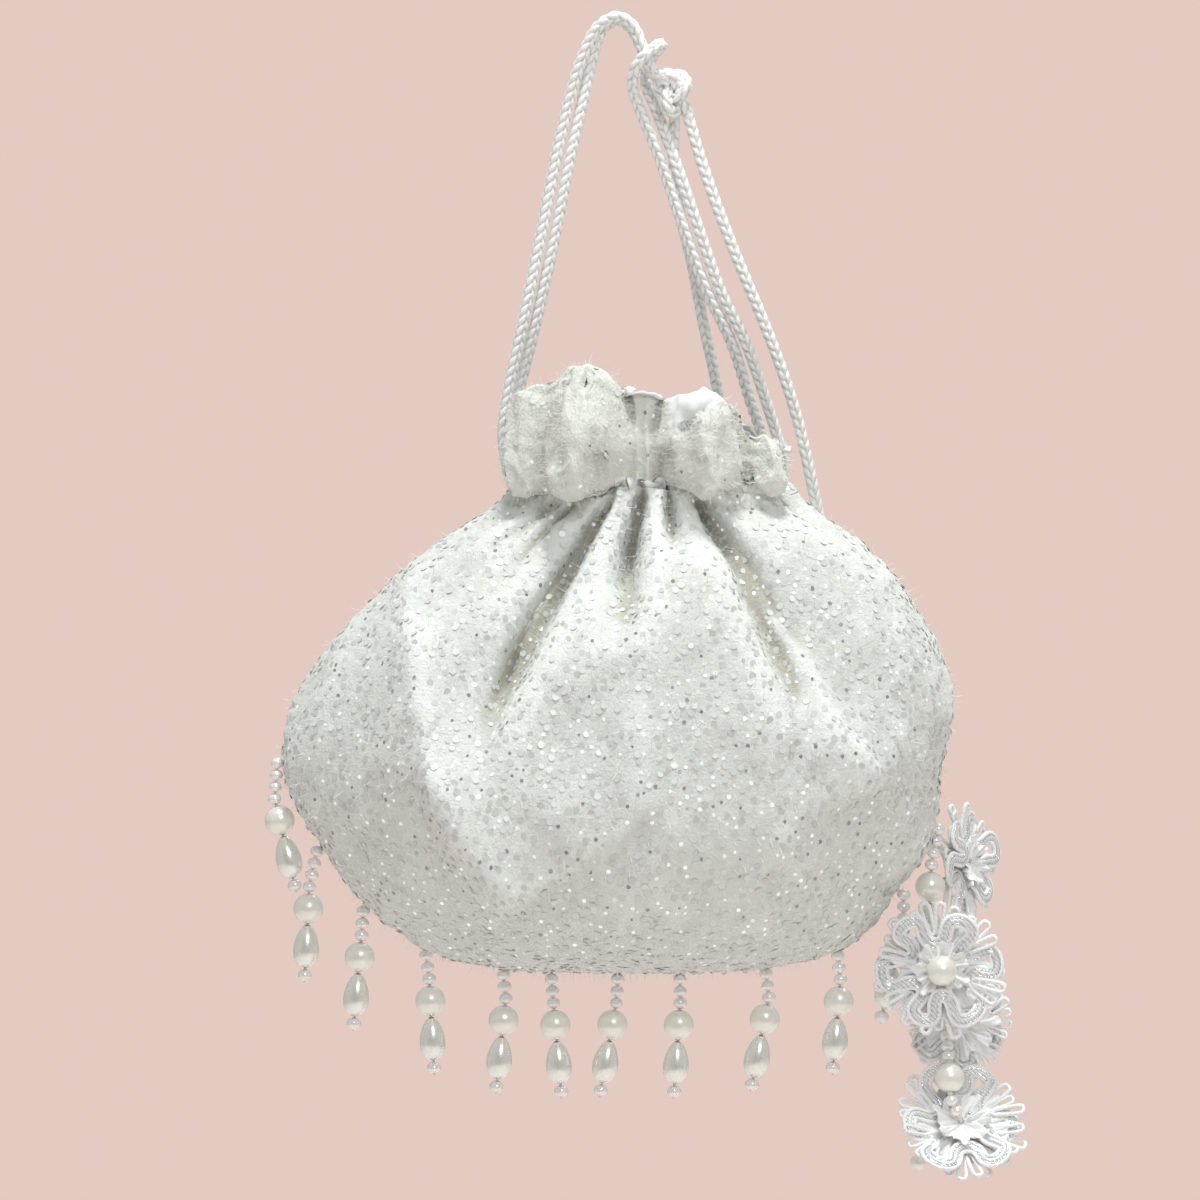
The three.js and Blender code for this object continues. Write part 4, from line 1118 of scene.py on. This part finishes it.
# The cords of the braid: place across it, lift and width in millimetres.
BRAID = {
    "outer": (1.55, 0.1, 1.3), "inner": (-1.55, 0.1, 1.3), "core": (0, 0, 2.0),
    "left": (0.9, 0.6, 0.45), "right": (-0.9, 0.6, 0.45),
}
LOBE_COUNT = 6
PICOT_FAN = (-26, -9, 9, 26)


def braid_finish(colour_low, colour_high, rough, metal):
    """Fine twisted cord of one colour, duller for silk and brighter for metal thread."""

    def build(g):
        values = {"Vector": g.place(), "Scale": 420.0, "Distortion": 1.5, "Detail": 1.0}
        twist = g.node("ShaderNodeTexWave", {"bands_direction": "DIAGONAL"}, values)
        return {
            "Base Color": g.mix(twist, colour_low, colour_high), "Roughness": rough, "Metallic": metal,
            "Normal": g.bump(twist, 0.5, 0.12 * MM), "Sheen Weight": 0.2,
        }

    return build


white_braid = finish("white_braid", braid_finish((0.88, 0.885, 0.90), (0.98, 0.98, 0.985), 0.5, 0.0))
grey_braid = finish("silver_grey_braid", braid_finish((0.66, 0.67, 0.69), (0.88, 0.89, 0.91), 0.28, 0.2))
silver_thread = finish("silver_thread", braid_finish((0.75, 0.76, 0.78), (0.97, 0.97, 0.98), 0.14, 0.95))


def petal_finish(g):
    """Soft white cloth, crinkled and a little see-through."""
    crumple = g.noise(g.place(), 1.6 * MM, 4)
    return {
        "Base Color": g.mix(crumple, (0.89, 0.90, 0.91), (0.985, 0.985, 0.985)), "Roughness": 0.6,
        "Normal": g.bump(crumple, 0.6, 0.5 * MM), "Sheen Weight": 0.4,
        "Subsurface Weight": 0.2, "Subsurface Radius": (0.003, 0.003, 0.003),
    }


petal_cloth = finish("petal_cloth", petal_finish)

layer, given = maker("laid_cord", {"Width": "Float", "Finish": "Material"})
body = smoothly(layer, tube_along(layer, given.out("Geometry"), given.out("Width") / 2, 8))
end_tree(layer, painted(layer, body, given.out("Finish")))


def looped(g, given):
    """Narrow loops of cord that stand out from their points, each along its way and flat to its face."""
    spot = g.parts(g.node("GeometryNodeInputPosition"))
    out = (spot.out("X") + 1) / 2
    wide = spot.out("Y") / (spot.math("ABSOLUTE", spot.out("Y")) + 0.3) * (0.11 + 0.09 * out)
    values = {"Geometry": circle(g, 1.0, 18), "Position": g.vector(out, wide, 0.0)}
    ring = g.node("GeometryNodeSetPosition", {}, values)
    values = {"Curve": ring, "Profile Curve": circle(g, given.out("Thickness"), 6)}
    loop = smoothly(g, g.node("GeometryNodeCurveToMesh", {}, values))
    turn = g.node("FunctionNodeAlignRotationToVector", {"axis": "X"}, {"Vector": named(g, "way", "FLOAT_VECTOR")})
    values = {"Rotation": turn, "Vector": named(g, "face", "FLOAT_VECTOR")}
    turn = g.node("FunctionNodeAlignRotationToVector", {"axis": "Z", "pivot_axis": "X"}, values)
    points = g.node("GeometryNodeMeshToPoints", {}, {"Mesh": given.out("Geometry")})
    return copies(g, points, loop, turn, given.out("Length") * random(g, 0.8, 1.12, given.out("Seed")))


picot, given = maker("picot_loops", {"Length": "Float", "Thickness": "Float", "Seed": "Int", "Finish": "Material"})
end_tree(picot, painted(picot, looped(picot, given), given.out("Finish")))


def braid_line(radius, cup, phase, offset, lift, steps=300):
    """The line of one cord of the braid, offset across it, in an uneven flower that faces +Z."""
    turn = np.linspace(0, 2 * math.pi, steps, endpoint=False)

    def at(turn):
        reach = (radius - BRAID_WIDTH / 2) * (0.74 + 0.26 * np.cos(6 * turn) + 0.06 * np.sin(2 * turn + phase))
        where = turn + 0.1 * np.sin(12 * turn) + 0.07 * np.sin(3 * turn + phase)
        wave = 0.1 * np.sin(2 * turn + 2 * phase) + 0.05 * np.sin(5 * turn + phase)
        return np.stack([reach * np.cos(where), reach * np.sin(where), cup * reach**2 / radius + radius * wave], 1)

    along = at(turn + 0.01) - at(turn - 0.01)
    side = np.stack([along[:, 1], -along[:, 0], np.zeros(steps)], 1)
    side /= np.linalg.norm(side, axis=1, keepdims=True)
    return at(turn) + side * offset + np.array([0, 0, lift])


def petals(radius, cup, seed, lift):
    """Crinkled petals round the eye, as one ruffled sheet with a back."""
    shake = np.random.default_rng(seed)
    rows, count = 16, 170
    turn = np.linspace(0, 2 * math.pi, count, endpoint=False)
    phases = shake.uniform(0, 6.28, 8)
    edge = radius * (0.84 + 0.1 * np.cos(7 * turn + phases[0]) + 0.06 * np.cos(13 * turn + phases[1]))
    grid = []
    for share in np.linspace(0.12, 1, rows):
        r = edge * share
        ruffle = 0.9 * np.sin(9 * turn + phases[2] + 3 * share) + 0.6 * np.sin(17 * turn + phases[3] - 4 * share)
        ruffle = ruffle + 0.4 * np.abs(np.sin(14 * turn + phases[4] + 5 * share))
        ruffle = ruffle + 0.3 * np.sin(37 * turn + phases[5] + 6 * share)
        height = cup * r**2 / radius + lift + MM * (0.85 * share**0.7 * ruffle + 1.1 * (1 - share))
        grid.append(np.stack([r * np.cos(turn), r * np.sin(turn), height], 1))
    front = np.array(grid)
    back = front[::-1] - np.array([0, 0, 0.5 * MM])
    points = np.concatenate([front, back]).reshape(-1, 3)
    faces = grid_faces(2 * rows, count)
    last = (2 * rows - 1) * count
    faces += [(last + k, k, (k + 1) % count, last + (k + 1) % count) for k in range(count)]
    return points, faces


def moved(points, matrix):
    turn = np.array(matrix)
    return np.asarray(points) @ turn[:3, :3].T + turn[:3, 3]


def turned(ways, matrix):
    """Directions turned by a matrix, without its shift."""
    return moved(ways, matrix) - moved([(0, 0, 0)], matrix)


ornament = []
gap = CLEAR + STRING_D / 2 + BRAID_T / 2
for number, (point, size, facing, tilt, spin, shift, cup, threaded) in enumerate(ROSETTES, 1):
    rosette = f"rosette_{number}"
    radius = ROSETTE_R * size
    hold = Matrix.Translation(Vector(STRING[point]) * MM)
    hold @= Matrix.Rotation(math.radians(facing), 4, "Z") @ Matrix.Rotation(math.pi / 2 - math.radians(tilt), 4, "X")
    seat = Matrix.Translation((shift * MM, 0, 0 if threaded else gap))
    flower = hold @ seat @ Matrix.Rotation(math.radians(spin), 4, "Z")
    parts = []
    for label, (offset, lift, width) in BRAID.items():
        line = moved(braid_line(radius, cup, 1.3 * number, offset * MM, lift * MM), flower)
        strand = line_piece(f"{rosette}_{label}", [line], closed=True)
        material = {"outer": white_braid, "inner": white_braid, "core": grey_braid}.get(label, silver_thread)
        parts.append(made_by(strand, layer, {"Width": width * MM, "Finish": material}))
    roots, ways = [], []
    for bay in range(LOBE_COUNT):
        for fan in PICOT_FAN:
            start, way = (math.radians(60 * bay + 30 + fan * share) for share in (0.45, 1.2))
            reach = 0.54 * radius
            roots.append((reach * math.cos(start), reach * math.sin(start), cup * radius * 0.3 - 0.9 * MM))
            rise = cup * 0.9 + 0.22 * math.sin(2.4 * bay + 0.13 * fan + number)
            ways.append((math.cos(way), math.sin(way), rise))
    roots = moved(roots, flower)
    faced = np.tile(turned([(0, 0, 1)], flower), (len(roots), 1))
    values = {"way": turned(ways, flower), "face": faced}
    loops = line_piece(f"{rosette}_loops", [root[None] for root in roots], values=values)
    picot_sizes = {"Length": 0.5 * radius, "Thickness": 0.07, "Seed": number, "Finish": white_braid}
    parts.append(made_by(loops, picot, picot_sizes))
    for label, share, more_cup, lift in (("petals", 0.84, 0, -1.6), ("inner_petals", 0.5, 0.3, 0.3)):
        points, faces = petals(radius * share, cup + more_cup, number + int(10 * share), lift * MM)
        parts.append(solid_piece(f"{rosette}_{label}", moved(points, flower), faces, petal_cloth))
    if threaded:
        points, faces = bead_shape(SILVER_DOT_D, SILVER_DOT_D, 0.3 * MM)
        points = moved(points + np.array([2.2, 1.4, 3.4]) * MM, flower)
        parts.append(solid_piece("silver_dot", points, faces, silver_thread))
    made = join(f"{rosette}_flower", parts)
    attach(made, "root")
    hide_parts(rosette)
    ornament.append(made)
    if number == 2:
        seated = 1 * MM + CLEAR + math.sqrt((PEARL_D / 2) ** 2 - (3.2 * MM * math.cos(math.pi / 10)) ** 2)
        middle = moved([(shift * MM, 0, gap + seated)], hold)[0]
        sideways = turned([(1, 0.2, 0)], hold)[0]
        bead = bead_piece("rosette_2_round", middle, sideways, pearl_shape, pearl_finish, "rosette_2_pearl")
        ornament.append(bead)

string_path = smooth_route(STRING, 1 * MM)
thread = line_piece("ornament_thread", [string_path])
made_by(thread, layer, {"Width": STRING_D, "Finish": white_thread})
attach(thread, "root")
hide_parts("ornament_string")
spots = np.array(STRING) * MM
pearl_way = spots[8] - spots[6]
pearl_way /= np.linalg.norm(pearl_way)
wide_bore = bead_shape(PEARL_D, PEARL_D, STRING_D + 2 * CLEAR)
ornament.append(bead_piece("ornament_round", spots[7], pearl_way, wide_bore, pearl_finish, "ornament_pearl"))
# Three seed beads sit above the ornament's pearl and two below it.
gone = gone_along(string_path)
pearl_gone = gone[np.argmin(np.linalg.norm(string_path - spots[7], axis=1))]
steps = np.array([-3, -2, -1, 1, 2])
seed_gone = pearl_gone + np.sign(steps) * (PEARL_D / 2 + CLEAR) + (steps - np.sign(steps) / 2) * SEED_D
string_ways = np.gradient(string_path, axis=0)
string_ways /= np.linalg.norm(string_ways, axis=1, keepdims=True)
seed_spots, seed_ways = (
    np.stack([np.interp(seed_gone, gone, numbers[:, axis]) for axis in range(3)], 1)
    for numbers in (string_path, string_ways)
)
seeds = line_piece("ornament_seeds", [seed_spots], values={"bead": np.ones(len(steps)), "way": seed_ways})
made_by(seeds, stringer, {**beading, "Seed": 31})
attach(seeds, "root")
ornament.append(seeds)
end_way = spots[-1] - spots[-2]
end_way /= np.linalg.norm(end_way)
end_spot = spots[-1] + end_way * (ORNAMENT_END_D / 2 + CLEAR)
end_shape = bead_shape(ORNAMENT_END_D, ORNAMENT_END_D, BORE_D)
ornament.append(bead_piece("ornament_tip", end_spot, end_way, end_shape, pearl_finish, "ornament_end"))

# What hangs free
# The five cords and the ornament's thread are declared with their lengths and what is on them.
for name, far_end, carries in (
    ("cord_a1", "knot", [knot]), ("cord_a2", "knot", [knot]), ("cord_b", "object", []),
    ("tail_1", "fitting", [ornament[0]]), ("tail_2", "object", []),
):
    path = cord_paths[name]
